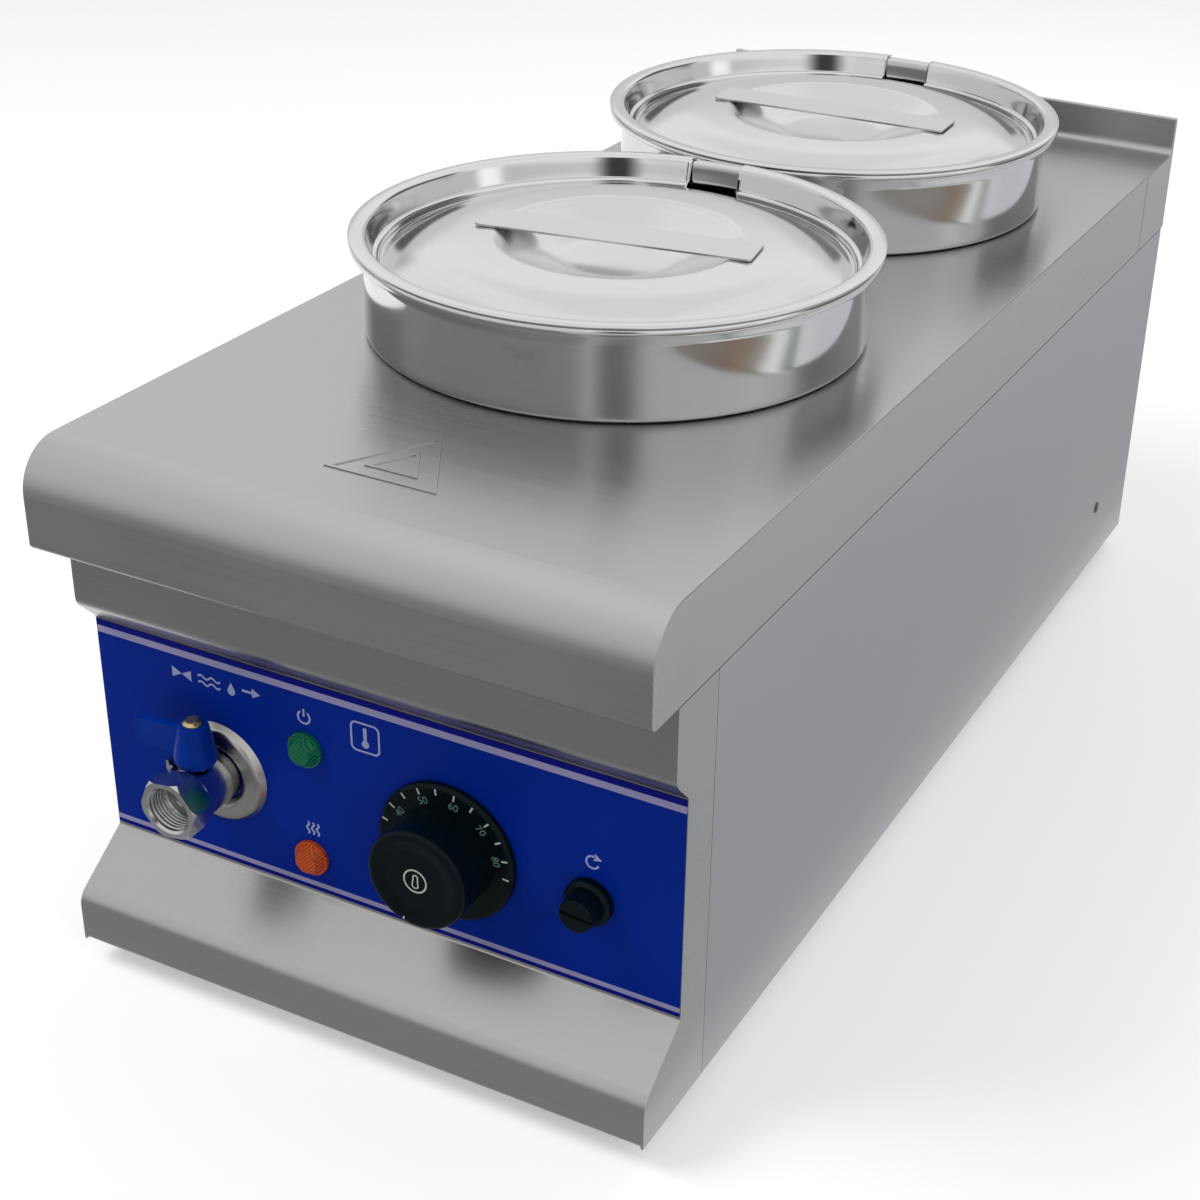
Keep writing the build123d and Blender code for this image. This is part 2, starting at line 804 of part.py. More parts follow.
def make_valve_ball():
    place = Pos(drain_x, stem_y, drain_axis_z)
    ball = place * Sphere(ball_radius)
    ball -= rod_x(stem_y, drain_axis_z, drain_x - ball_radius, drain_x + ball_radius, ball_bore)
    socket_z = drain_axis_z + ball_bore + stem_seat
    return ball - post(drain_x, stem_y, socket_z, drain_axis_z + ball_radius + 1, stem_radius + running)


def make_valve_stem():
    z0 = drain_axis_z + ball_bore + stem_seat
    return post(drain_x, stem_y, z0, lever_top_z + lever_nut_height + stem_proud, stem_radius)


def make_packing_nut():
    z0 = drain_axis_z + valve_body_radius
    nut = hex_z(drain_x, stem_y, z0, z0 + packing_height, packing_across)
    return nut - post(drain_x, stem_y, z0 - 1, z0 + packing_height + 1, stem_radius + running)


def make_lever():
    z0, z1 = lever_base_z, lever_top_z
    hub = outline([(0, z0), (hub_base_radius, z0, hub_foot_bend),
                   (hub_waist_radius, z0 + hub_waist_low, hub_waist_bend),
                   (hub_waist_radius - hub_waist_draft, z0 + hub_waist_high, hub_waist_bend),
                   (hub_top_radius, z1, hub_foot_bend), (0, z1)])
    lever = turned_z(hub, drain_x, stem_y)
    end_x = drain_x - blade_length
    end_z = z0 + blade_end_rise
    side_view = outline([(drain_x, z0 + hub_foot_bend * 2), (drain_x, z1 - hub_foot_bend),
                         (drain_x - blade_top_root, z1 - blade_top_drop, blade_root_bend),
                         (end_x, end_z + blade_height, blade_end_bend), (end_x, end_z, blade_end_bend),
                         (drain_x - blade_low_root, z0 + blade_low_rise, blade_root_bend)])
    lever += Pos(0, stem_y + blade_thickness / 2, 0) * extrude(Plane.XZ * side_view, blade_thickness)
    recess = packing_height + 1
    lever -= post(drain_x, stem_y, z0 - 1, z0 + recess, packing_across / sqrt(3) + 1)
    return lever - post(drain_x, stem_y, z0, z1 + 1, stem_radius + running)


def make_lever_nut():
    z0 = lever_top_z
    z1 = z0 + lever_nut_height
    r = lever_nut_radius
    dome = outline([(0, z0), (r, z0), (r, z0 + lever_nut_edge, 0.4), (r - lever_nut_slope, z1, 0.6), (0, z1)])
    return turned_z(dome, drain_x, stem_y) - post(drain_x, stem_y, z0 - 1, z1 + 1, stem_radius + running)


def make_rosette():
    crown = label_y - rosette_height
    path = [(rosette_radius, label_y),
            (rosette_radius - rosette_edge, crown + rosette_edge_rise, rosette_edge_bend),
            (rosette_bore + rosette_lip, crown, rosette_lip_bend), (rosette_bore, crown + rosette_lip_drop)]
    dish = Pos(drain_x, 0, drain_axis_z) * revolve(folded(path, -rosette_sheet), Axis.Y, 360)
    return dish - rod_y(drain_x, drain_axis_z, label_y, label_y + 2, rosette_radius + 2)


def make_drain_locknut():
    y0 = panel_y + sheet
    nut = hex_y(drain_x, drain_axis_z, y0, y0 + locknut_thickness, locknut_across)
    return nut - rod_y(drain_x, drain_axis_z, y0 - 1, y0 + locknut_thickness + 1, tail_radius + running)


def make_drain_pipe():
    y0 = panel_y - valve_back_reach + pipe_socket
    y1 = tank_y0 + tank_wall
    pipe = rod_y(drain_x, drain_axis_z, y0, y1, drain_pipe_radius)
    return pipe - rod_y(drain_x, drain_axis_z, y0 - 1, y1 + 1, drain_pipe_radius - drain_pipe_wall)


# Thermostat, its knob and dial

def tab_y(x, z, y0, width):
    """Push-on terminal tab standing on a housing's back."""
    x0, x1 = x - tab_thickness / 2, x + tab_thickness / 2
    return block(x0, x1, y0, y0 + tab_length, z - width / 2, z + width / 2)


def make_thermostat():
    x, z = knob_x, knob_axis_z
    y0 = panel_y + sheet
    w, h = thermostat_width / 2, thermostat_height / 2
    body = block(x - w, x + w, y0, y0 + thermostat_flange, z - h, z + h)
    w -= thermostat_shoulder
    h -= thermostat_shoulder
    body += block(x - w, x + w, y0 + thermostat_flange, y0 + thermostat_depth, z - h, z + h)
    body += rod_y(x, z, label_y - bushing_reach, y0, bushing_radius)
    for side in (-1, 1):
        body += tab_y(x + side * thermostat_tab_place, z, y0 + thermostat_depth, tab_width)
        body -= rod_y(x + side * thermostat_screw_pitch / 2, z, y0 - 1, y0 + thermostat_screw_length + 2,
                      screw_radius + running)
    return body - rod_y(x, z, label_y - bushing_reach - 1, y0 + shaft_socket + 1, shaft_radius + running)


def d_shaft(y0, y1, radius, flat):
    """Round shaft along Y with one flat below."""
    x, z = knob_x, knob_axis_z
    return rod_y(x, z, y0, y1, radius) - block(x - radius, x + radius, y0, y1, z - radius, z - flat)


def make_shaft():
    tip = panel_y - knob_reach + knob_wall
    bush_front = label_y - bushing_reach
    shaft = d_shaft(tip, bush_front, shaft_radius, shaft_flat)
    return shaft + rod_y(knob_x, knob_axis_z, bush_front, panel_y + sheet + shaft_socket, shaft_radius)


def make_knob():
    face = panel_y - knob_reach
    back = panel_y - dial_reach
    hub_back = label_y - bushing_reach - 1
    spigot = spigot_radius - running
    inner_face = face + knob_skin
    corners = [(0, face + knob_dish), (knob_dish_radius, face + knob_dish, knob_dish_bend),
               (knob_land_radius, face, knob_land_bend), (knob_radius, face, knob_edge_bend),
               (knob_base_radius, back), (spigot, back),
               (spigot, back + dial_sheet), (spigot - dial_edge, back + dial_sheet),
               (spigot - dial_edge, inner_face, knob_skin_bend), (knob_hub_radius, inner_face),
               (knob_hub_radius, hub_back), (0, hub_back)]
    knob = turned_y(corners, knob_x, knob_axis_z)
    return knob - d_shaft(face + knob_wall, hub_back + 1, shaft_radius + running, shaft_flat + running)


def make_dial():
    front = panel_y - dial_reach
    back = label_y - dial_gap
    corners = [(spigot_radius, front), (dial_radius - dial_edge, front, 0.8),
               (dial_radius, front + dial_edge, 0.6),
               (dial_radius, back), (dial_radius - dial_rim, back),
               (dial_radius - dial_rim, front + dial_sheet), (spigot_radius, front + dial_sheet)]
    return turned_y(corners, knob_x, knob_axis_z)


def make_thermostat_screws():
    return joined([pan_screw_y(knob_x + side * thermostat_screw_pitch / 2, knob_axis_z, label_y, -1,
                               thermostat_screw_length) for side in (-1, 1)])


# Safety thermostat with its reset pin under a screwed cap

def make_limiter():
    x, z = reset_x, reset_axis_z
    y0 = panel_y + sheet
    s = limiter_side / 2
    body = block(x - s, x + s, y0, y0 + limiter_depth, z - s, z + s)
    body += rod_y(x, z, panel_y - reset_bush_reach, y0, bushing_radius)
    for side in (-1, 1):
        body += tab_y(x + side * limiter_tab_place, z, y0 + limiter_depth, tab_width)
    depth_in = panel_y + reset_pin_tail + reset_pin_travel + 1
    return body - rod_y(x, z, panel_y - reset_bush_reach - 1, depth_in, reset_pin_radius + running)


def make_reset_nut():
    front = label_y - reset_nut_height
    r = reset_nut_radius
    bore = bushing_radius + running
    return turned_y([(bore, front), (r - reset_nut_edge, front, 0.5), (r, front + reset_nut_edge, 0.5),
                     (r, label_y), (bore, label_y)], reset_x, reset_axis_z)


def make_reset_cap():
    front = panel_y - reset_cap_reach
    back = label_y - reset_nut_height - seam
    bore = bushing_radius + hole_gap
    cap = turned_y([(0, front), (reset_cap_radius - slip, front, reset_cap_edge), (reset_cap_radius, back),
                    (bore, back), (bore, front + reset_cap_wall), (0, front + reset_cap_wall)],
                   reset_x, reset_axis_z)
    slot = Box(3 * reset_cap_radius, 2 * reset_slot_depth, reset_slot)
    return cap - Pos(reset_x, front, reset_axis_z) * Rot(0, reset_slot_turn, 0) * slot


def make_reset_pin():
    return rod_y(reset_x, reset_axis_z, panel_y - reset_pin_reach, panel_y + reset_pin_tail,
                 reset_pin_radius)


# Pilot lamps

def make_lens(lamp_z):
    """Faceted cap over the lamp's body."""
    front = label_y - lamp_lens_reach
    r = lamp_lens_radius
    step_y = label_y - lamp_lens_rim
    lens = turned_y([(0, front), (lamp_lens_face, front), (r - lamp_lens_step, step_y), (r, step_y + 0.2),
                     (r, label_y), (0, label_y)], lamp_x, lamp_z)
    section = RegularPolygon(r - lamp_lens_step, lamp_facets)
    prism = Pos(lamp_x, step_y, lamp_z) * Rot(90, 0, 0) * extrude(section, lamp_lens_reach)
    rim = block(lamp_x - r, lamp_x + r, step_y, label_y, lamp_z - r, lamp_z + r)
    lens = (lens & prism) + (lens & rim)
    return lens - rod_y(lamp_x, lamp_z, front + lamp_lens_skin, label_y + 1, lamp_neck_radius + running)


def make_lamp_bodies():
    bodies = []
    for lamp_z in lamp_zs:
        body = rod_y(lamp_x, lamp_z, label_y, label_y + lamp_body_length, lamp_body_radius)
        body += rod_y(lamp_x, lamp_z, label_y - lamp_lens_reach + lamp_lens_skin, label_y, lamp_neck_radius)
        for side in (-1, 1):
            body += tab_y(lamp_x + side * lamp_tab_place, lamp_z, label_y + lamp_body_length, tab_width - 1)
        bodies.append(body)
    return joined(bodies)


def make_lamp_clips():
    y0 = panel_y + sheet
    y1 = y0 + lamp_clip_thickness
    return joined([rod_y(lamp_x, lamp_z, y0, y1, lamp_body_radius + lamp_clip_width)
                   - rod_y(lamp_x, lamp_z, y0 - 1, y1 + 1, lamp_body_radius + running) for lamp_z in lamp_zs])


# Heating element with its two glands through the tank's front wall

def element_ends():
    """X places of the two legs."""
    return (element_left, element_right)


def make_element():
    bend = (element_right - element_left) / 2
    y0 = tank_y0 - pin_reach
    y1 = tank_y1 - element_end_gap - bend
    legs = Line((element_left, y0, element_z), (element_left, y1, element_z))
    turn = ThreePointArc((element_left, y1, element_z), (element_left + bend, y1 + bend, element_z),
                         (element_right, y1, element_z))
    back = Line((element_right, y1, element_z), (element_right, y0, element_z))
    path = Wire([legs.edge(), turn.edge(), back.edge()])
    start = Plane(origin=(element_left, y0, element_z), z_dir=(0, 1, 0))
    element = sweep(start * Circle(element_radius), path)
    for x in element_ends():
        element += tab_y(x, element_z, y0 - tab_length, tab_width)
    return element


def make_glands():
    glands = []
    inner_y = tank_y0 + tank_wall + seal_thickness
    for x in element_ends():
        gland = rod_y(x, element_z, inner_y, inner_y + gland_flange, gland_flange_radius)
        gland += rod_y(x, element_z, tank_y0 - gland_reach, inner_y, gland_radius)
        glands.append(gland - rod_y(x, element_z, tank_y0 - pin_reach, inner_y + 2 * gland_flange,
                                    element_radius + running))
    return joined(glands)


def make_gland_seals():
    seals = []
    y0 = tank_y0 + tank_wall
    for x in element_ends():
        seal = rod_y(x, element_z, y0, y0 + seal_thickness, gland_flange_radius)
        seals.append(seal - rod_y(x, element_z, y0 - 1, y0 + 2 * seal_thickness, gland_radius + running))
    return joined(seals)


def make_gland_nuts():
    nuts = []
    y0 = tank_y0 - gland_nut_thickness
    for x in element_ends():
        nut = hex_y(x, element_z, y0, tank_y0, gland_nut_across)
        nuts.append(nut - rod_y(x, element_z, y0 - 1, tank_y0 + 1, gland_radius + running))
    return joined(nuts)


# Temperature probe in the water and the capillary that joins it to the thermostat

def make_probe():
    bulb_y = tank_y0 + probe_setback
    start_z = knob_axis_z + capillary_rise
    y0 = panel_y + sheet + thermostat_depth
    route = [(knob_x, y0, start_z), (knob_x, y0 + capillary_run, start_z),
             (probe_x, tank_y0 - capillary_run, probe_z), (probe_x, bulb_y + 1, probe_z)]
    line = tube(route, capillary_radius)
    return line + rod_y(probe_x, probe_z, bulb_y, bulb_y + probe_length, probe_radius)


def make_probe_gland():
    y0, y1 = tank_y0 - probe_gland_flange, tank_y0 + tank_wall + probe_gland_flange
    outer = probe_gland_radius + probe_gland_flange
    gland = rod_y(probe_x, probe_z, y0, tank_y0, outer)
    gland += rod_y(probe_x, probe_z, tank_y0, y1, probe_gland_radius)
    gland += rod_y(probe_x, probe_z, tank_y0 + tank_wall, y1, outer)
    return gland - rod_y(probe_x, probe_z, y0 - 1, y1 + 1, capillary_radius + capillary_gap)


def make_probe_posts():
    floor_z = tank_z0 + tank_wall
    x0, x1 = probe_x - post_width / 2, probe_x + post_width / 2
    posts = []
    for index in range(2):
        y = tank_y0 + post_setback + index * post_pitch
        stand = block(x0, x1, y, y + tank_wall, floor_z, probe_z + probe_radius + post_crown)
        stand += block(x0, x1, y, y + post_foot, floor_z, floor_z + tank_wall)
        posts.append(stand - rod_y(probe_x, probe_z, y - 1, y + tank_wall + 1, probe_radius + running))
    return joined(posts)


# Mains side: inlet gland, terminal block, earth stud and inner leads

def make_inlet_gland():
    y1 = rear_y
    collar_y = y1 + inlet_collar
    dome_radius = inlet_radius + inlet_dome
    gland = hex_y(inlet_x, inlet_z, y1, collar_y, inlet_across)
    tip_y = y1 + inlet_reach
    gland += turned_y([(0, collar_y), (dome_radius, collar_y), (dome_radius, collar_y + inlet_dome_length, 2),
                       (inlet_bore + inlet_lip, tip_y, 1), (0, tip_y)], inlet_x, inlet_z)
    gland += rod_y(inlet_x, inlet_z, rear_inner_y - inlet_thread, y1, inlet_radius)
    return gland - rod_y(inlet_x, inlet_z, rear_inner_y - inlet_thread - 1, tip_y + 1, inlet_bore)


def make_inlet_nut():
    y0 = rear_inner_y - inlet_nut_thickness
    nut = hex_y(inlet_x, inlet_z, y0, rear_inner_y, inlet_across + 2)
    return nut - rod_y(inlet_x, inlet_z, y0 - 1, rear_inner_y + 1, inlet_radius + running)


def block_ways():
    """X places of the three poles of the terminal block."""
    pitch = block_length / 3
    return [inlet_x + block_x + pitch * (index + 0.5) for index in range(3)]


def make_terminal_block():
    x0 = inlet_x + block_x
    y0, y1 = block_y, block_y + block_width
    step_z = block_z + block_height - block_step
    body = block(x0, x0 + block_length, y0, y1, block_z, step_z)
    for x in block_ways():
        body += block(x - block_pole / 2, x + block_pole / 2, y0, y1, step_z, block_z + block_height)
        body -= rod_y(x, block_z + block_way_height, y0 - 1, y1 + 1, wire_radius + block_way_gap)
        body -= post(x, (y0 + y1) / 2, block_z + block_way_height, block_z + block_height + 1,
                     screw_radius + hole_gap)
    return body


def make_terminal_screws():
    low_z = block_z + block_way_height + wire_radius + block_way_gap
    head_z = block_z + block_height - block_step / 2
    return joined([post(x, block_y + block_width / 2, low_z, head_z, screw_radius) for x in block_ways()])


def make_earth_stud():
    x, y = inlet_x + stud_x, block_y + block_width + stud_gap
    stud = post(x, y, block_z, block_z + stud_length, stud_radius)
    nut = hex_z(x, y, block_z, block_z + small_nut_thickness, small_nut_across)
    return stud + (nut - post(x, y, block_z - 1, block_z + small_nut_thickness + 1, stud_radius + running))


def make_leads():
    way_z = block_z + block_way_height
    ways = block_ways()
    low_z = tank_z0 - lead_sag
    knob_tab_y = panel_y + sheet + thermostat_depth + tab_length
    limiter_tab_y = panel_y + sheet + limiter_depth + tab_length
    element_tab_y = tank_y0 - pin_reach - tab_length
    knob_left, knob_right = knob_x - thermostat_tab_place, knob_x + thermostat_tab_place
    reset_left, reset_right = reset_x - limiter_tab_place, reset_x + limiter_tab_place
    runs = [
        [(ways[0], block_y + 2, way_z), (ways[0], block_y - lead_start, way_z),
         (ways[0] + lead_start, block_y - lead_sweep, low_z - lead_dip),
         (knob_x - lead_spread, knob_tab_y + lead_start, low_z),
         (knob_left, knob_tab_y + lead_end, knob_axis_z), (knob_left, knob_tab_y, knob_axis_z)],
        [(knob_right, knob_tab_y, knob_axis_z), (knob_right, knob_tab_y + lead_end, knob_axis_z),
         (knob_right + lead_spread, knob_tab_y + 2 * lead_end, knob_axis_z - lead_spread),
         (reset_left, limiter_tab_y + lead_end, reset_axis_z), (reset_left, limiter_tab_y, reset_axis_z)],
        [(reset_right, limiter_tab_y, reset_axis_z), (reset_right, limiter_tab_y + lead_end, reset_axis_z),
         (reset_right - lead_loop, limiter_tab_y + lead_end + 2 * lead_loop,
          reset_axis_z - lead_spread - 2 * lead_loop),
         (element_right, element_tab_y - lead_end, element_z), (element_right, element_tab_y, element_z)],
    ]
    return Compound(children=[tube(points, wire_radius).solid() for points in runs])


# Feet and the screws that hold the cabinet together

def foot_places():
    xs = (foot_inset_x - half, half - foot_inset_x)
    ys = (front_y + foot_inset_y, back_y - foot_inset_y)
    return [(x, y) for x in xs for y in ys]


def make_feet():
    top = base_z + sheet
    feet = []
    for x, y in foot_places():
        cone = outline([(0, 0), (foot_tip_radius, 0, foot_tip_bend), (foot_radius, top, foot_top_bend),
                        (0, top)])
        foot = turned_z(cone, x, y)
        foot -= post(x, y, -1, foot_counterbore, screw_head_radius + foot_counterbore_gap)
        feet.append(foot - post(x, y, 0, top + 1, screw_radius + running))
    return joined(feet)


def make_foot_screws():
    top = base_z + 2 * sheet + small_nut_thickness + foot_screw_proud
    screws = []
    for x, y in foot_places():
        head = post(x, y, foot_counterbore - screw_head_height, foot_counterbore, screw_head_radius)
        screws.append(head + post(x, y, foot_counterbore, top, screw_radius))
    return joined(screws)


def make_foot_nuts():
    z0 = base_z + 2 * sheet
    z1 = z0 + small_nut_thickness
    nuts = []
    for x, y in foot_places():
        nut = hex_z(x, y, z0, z1, small_nut_across)
        nuts.append(nut - post(x, y, z0 - 1, z1 + 1, screw_radius + running))
    return joined(nuts)


def make_side_screws():
    y, z = side_screw_y, side_screw_z
    screws = []
    for side in (-1, 1):
        head = rod_x(y, z, *sorted((side * side_x, side * (side_x + side_screw_proud))), screw_head_radius)
        shank = rod_x(y, z, *sorted((side * side_x, side * (side_x - screw_length))), screw_radius)
        slot = block(*sorted((side * (side_x + side_screw_proud / 2), side * half)),
                     y - screw_head_radius, y + screw_head_radius, z - screw_slot / 2, z + screw_slot / 2)
        screws.append(head + shank - slot)
    return joined(screws)


def make_rear_screws():
    return joined([pan_screw_y(side * (inner_x - flange_width / 2), z, rear_y, 1, screw_length)
                   for side in (-1, 1) for z in rear_screw_zs()])


NODES = {
    "worktop": make_worktop(),
    "front_fascia": make_fascia(),
    "control_label": make_label(),
    "left_side_panel": make_side_panel(-1),
    "right_side_panel": make_side_panel(1),
    "rear_panel": make_rear_panel(),
    "base_tray": make_base(),
    "water_tank": make_tank(),
    "front_pot": make_pot(pot_ys[0]),
    "rear_pot": make_pot(pot_ys[1]),
    "front_lid": make_lid(pot_ys[0], front_notch_turn),
    "rear_lid": make_lid(pot_ys[1], rear_notch_turn),
    "front_lid_strap": make_strap(pot_ys[0], front_strap_turn),
    "rear_lid_strap": make_strap(pot_ys[1], rear_strap_turn),
    "valve_body": make_valve_body(),
    "valve_tail": make_valve_tail(),
    "valve_seats": make_valve_seats(),
    "valve_ball": make_valve_ball(),
    "valve_stem": make_valve_stem(),
    "packing_nut": make_packing_nut(),
    "drain_lever": make_lever(),
    "lever_nut": make_lever_nut(),
    "valve_rosette": make_rosette(),
    "drain_locknut": make_drain_locknut(),
    "drain_pipe": make_drain_pipe(),
    "thermostat_body": make_thermostat(),
    "thermostat_shaft": make_shaft(),
    "thermostat_knob": make_knob(),
    "thermostat_dial": make_dial(),
    "thermostat_screws": make_thermostat_screws(),
    "limiter_body": make_limiter(),
    "reset_nut": make_reset_nut(),
    "reset_cap": make_reset_cap(),
    "reset_pin": make_reset_pin(),
    "green_lens": make_lens(lamp_zs[0]),
    "orange_lens": make_lens(lamp_zs[1]),
    "lamp_bodies": make_lamp_bodies(),
    "lamp_clips": make_lamp_clips(),
    "heating_element": make_element(),
    "element_glands": make_glands(),
    "gland_seals": make_gland_seals(),
    "gland_nuts": make_gland_nuts(),
    "temperature_probe": make_probe(),
    "probe_gland": make_probe_gland(),
    "probe_posts": make_probe_posts(),
    "inlet_gland": make_inlet_gland(),
    "inlet_nut": make_inlet_nut(),
    "terminal_block": make_terminal_block(),
    "terminal_screws": make_terminal_screws(),
    "earth_stud": make_earth_stud(),
    "inner_leads": make_leads(),
    "rubber_feet": make_feet(),
    "foot_screws": make_foot_screws(),
    "foot_nuts": make_foot_nuts(),
    "side_screws": make_side_screws(),
    "rear_screws": make_rear_screws(),
}

os.makedirs("parts", exist_ok=True)
for name, shape in NODES.items():
    export_step(shape, f"parts/{name}.step")
    print(name, len(shape.solids()))
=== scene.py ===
from math import cos, pi, radians, sin, tan

import bmesh
import bpy
from mathutils import Matrix, Vector


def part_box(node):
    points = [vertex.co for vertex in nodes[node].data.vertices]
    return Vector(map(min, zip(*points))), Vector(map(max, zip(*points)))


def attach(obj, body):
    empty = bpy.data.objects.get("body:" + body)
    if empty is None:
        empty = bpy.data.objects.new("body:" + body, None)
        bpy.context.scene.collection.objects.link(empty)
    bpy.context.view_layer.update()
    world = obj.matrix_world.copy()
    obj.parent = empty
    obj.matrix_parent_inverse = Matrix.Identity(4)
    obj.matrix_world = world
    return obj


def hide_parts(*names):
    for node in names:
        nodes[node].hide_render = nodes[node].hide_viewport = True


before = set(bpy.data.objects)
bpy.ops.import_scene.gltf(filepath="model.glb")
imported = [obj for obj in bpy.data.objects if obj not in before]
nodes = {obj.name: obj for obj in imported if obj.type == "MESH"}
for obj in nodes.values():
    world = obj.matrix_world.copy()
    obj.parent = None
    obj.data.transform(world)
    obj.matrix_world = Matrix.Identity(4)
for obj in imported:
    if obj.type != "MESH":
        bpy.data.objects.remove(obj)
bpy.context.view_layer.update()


# Camera
# It stands as in the picture: above the front right corner of the
# cabinet, about a metre away. The optical centre lies off the middle of the picture.

image_size = 1200
focal_pixels = 2129.606
optical_centre = (701.963, 617.185)
sensor_width = 36.0

camera_data = bpy.data.cameras.new("camera")
camera = bpy.data.objects.new("camera", camera_data)
bpy.context.scene.collection.objects.link(camera)
camera.location = (0.454115, -0.944250, 0.642957)
camera.rotation_euler = (1.065598, -0.034615, 0.462950)
camera_data.sensor_width = sensor_width
camera_data.lens = focal_pixels / image_size * sensor_width
camera_data.shift_x = (image_size / 2 - optical_centre[0]) / image_size
camera_data.shift_y = (optical_centre[1] - image_size / 2) / image_size
bpy.context.scene.camera = camera
bpy.context.scene.view_settings.view_transform = "Standard"


# Studio
# A white floor that keeps the soft shadow, an even white surround, soft lamps, and grey
# flags that only the metal reflects, as a studio sets them round steel.

def new_material(name, **values):
    """A material with plain values on its shader's own sockets; under_scores are spaces."""
    material = bpy.data.materials.new(name)
    material.use_nodes = True
    shader = material.node_tree.nodes["Principled BSDF"]
    for key, value in values.items():
        socket = shader.inputs[key.replace("_", " ")]
        socket.default_value = (*value, 1) if socket.type == "RGBA" else value
    return material


def make_node(tree, kind, inputs=None, **settings):
    """A node with its settings, input values and incoming links."""
    node = tree.nodes.new(kind)
    for key, value in settings.items():
        setattr(node, key, value)
    for key, value in (inputs or {}).items():
        if isinstance(value, bpy.types.NodeSocket):
            tree.links.new(value, node.inputs[key])
        else:
            node.inputs[key].default_value = value
    return node


def add_node(material, kind, inputs=None, **settings):
    """A shader node of a material or of the world."""
    return make_node(material.node_tree, "ShaderNode" + kind, inputs, **settings)


def scaled(material, value, span, target):
    """A value mapped from one span to another."""
    node = add_node(material, "MapRange", {"Value": value, "From Min": span[0], "From Max": span[1],
                                           "To Min": target[0], "To Max": target[1]})
    return node.outputs["Result"]


def combined(material, first, second, operation):
    """The result of a sum on two values."""
    return add_node(material, "Math", {0: first, 1: second}, operation=operation).outputs[0]


def link_shader(material, **sockets):
    """Links outputs to the material's shader; under_scores are spaces."""
    shader = material.node_tree.nodes["Principled BSDF"]
    for key, output in sockets.items():
        material.node_tree.links.new(output, shader.inputs[key.replace("_", " ")])


def seen_share(material):
    """1 for rays from the camera or off metal and glass, else 0."""
    rays = add_node(material, "LightPath").outputs
    metal = combined(material, rays["Is Camera Ray"], rays["Is Glossy Ray"], "MAXIMUM")
    return combined(material, metal, rays["Is Transmission Ray"], "MAXIMUM")


def flat_mesh(name, corners):
    """A stage sheet through four corners."""
    mesh = bpy.data.meshes.new(name)
    mesh.from_pydata(corners, [], [range(len(corners))])
    sheet = bpy.data.objects.new(name, mesh)
    bpy.context.scene.collection.objects.link(sheet)
    return sheet


ambient_light = 0.42
floor_half = 4.0
floor_corners = [(-floor_half, -floor_half, 0), (floor_half, -floor_half, 0),
                 (floor_half, floor_half, 0), (-floor_half, floor_half, 0)]
floor_colour = (0.86, 0.86, 0.86)
floor_lift = 0.30

world = bpy.data.worlds.new("surround")
bpy.context.scene.world = world
world.use_nodes = True
surround = world.node_tree.nodes["Background"]
surround.inputs["Color"].default_value = (1, 1, 1, 1)
look_way = add_node(world, "TexCoord").outputs["Generated"]
look_rise = add_node(world, "SeparateXYZ", {0: look_way}).outputs["Z"]
look_height = add_node(world, "Math", {0: look_rise}, operation="ARCSINE").outputs[0]


def soft_edge(value, edge, blur, inside):
    """Smooth step of an angle at an edge in degrees; inside is its level below the edge, 1 or 0."""
    step = add_node(world, "MapRange", {"Value": value, "From Min": radians(edge - blur / 2),
                                        "From Max": radians(edge + blur / 2), "To Min": inside,
                                        "To Max": 1 - inside}, interpolation_type="SMOOTHSTEP")
    return step.outputs["Result"]


def look_along(way):
    """How far the line of sight runs along a level direction."""
    return add_node(world, "VectorMath", {0: look_way, 1: way}, operation="DOT_PRODUCT").outputs["Value"]


def room_patch(brightness, bearing, spread, low, high, blur, level):
    """Lights or darkens a soft-edged part of the room, set by bearing and height in degrees."""
    ahead = (cos(radians(bearing)), sin(radians(bearing)), 0)
    turn = combined(world, look_along((-ahead[1], ahead[0], 0)), look_along(ahead), "ARCTAN2")
    aside = add_node(world, "Math", {0: turn}, operation="ABSOLUTE").outputs[0]
    share = soft_edge(aside, spread, blur, 1)
    for edge in (soft_edge(look_height, low, blur, 0), soft_edge(look_height, high, blur, 1)):
        share = combined(world, share, edge, "MULTIPLY")
    return combined(world, brightness, scaled(world, share, (0, 1), (1, level)), "MULTIPLY")


# What polished metal sees of the room. The front left is dim, most of all where it comes off
# the worktop before it reaches a pot. Each patch has its bearing, its half width, its lower
# and upper edge and its blur in degrees, and how bright it is.
second_look = combined(world, add_node(world, "LightPath").outputs["Glossy Depth"], 1.5, "GREATER_THAN")
dim_left = scaled(world, second_look, (0, 1), (0.8, 0.26))
lower_room = (0, 200, -90, 17, 7, 0.68)
left_wall = (-142, 66, 19, 52, 7, dim_left)
camera_shadow = (-61, 9, 9, 42, 12, 0.05)
right_wall = (54, 30, 12, 36, 8, 0.14)
left_shelf = (165, 24, 11, 20, 7, 0.35)
window = (3, 6, 7, 16, 7, 1.9)
soft_box_edge = (117, 16, 31, 62, 7, 0.9)
room = add_node(world, "Value").outputs[0]
room.default_value = 1.0
for room_part in (lower_room, left_wall, camera_shadow, right_wall, left_shelf, window, soft_box_edge):
    room = room_patch(room, *room_part)
metal_ray = add_node(world, "LightPath").outputs["Is Glossy Ray"]
metal_share = scaled(world, metal_ray, (0, 1), (1, room))
world_light = scaled(world, seen_share(world), (0, 1), (ambient_light, 1))
world_level = combined(world, world_light, metal_share, "MULTIPLY")
world.node_tree.links.new(world_level, surround.inputs["Strength"])

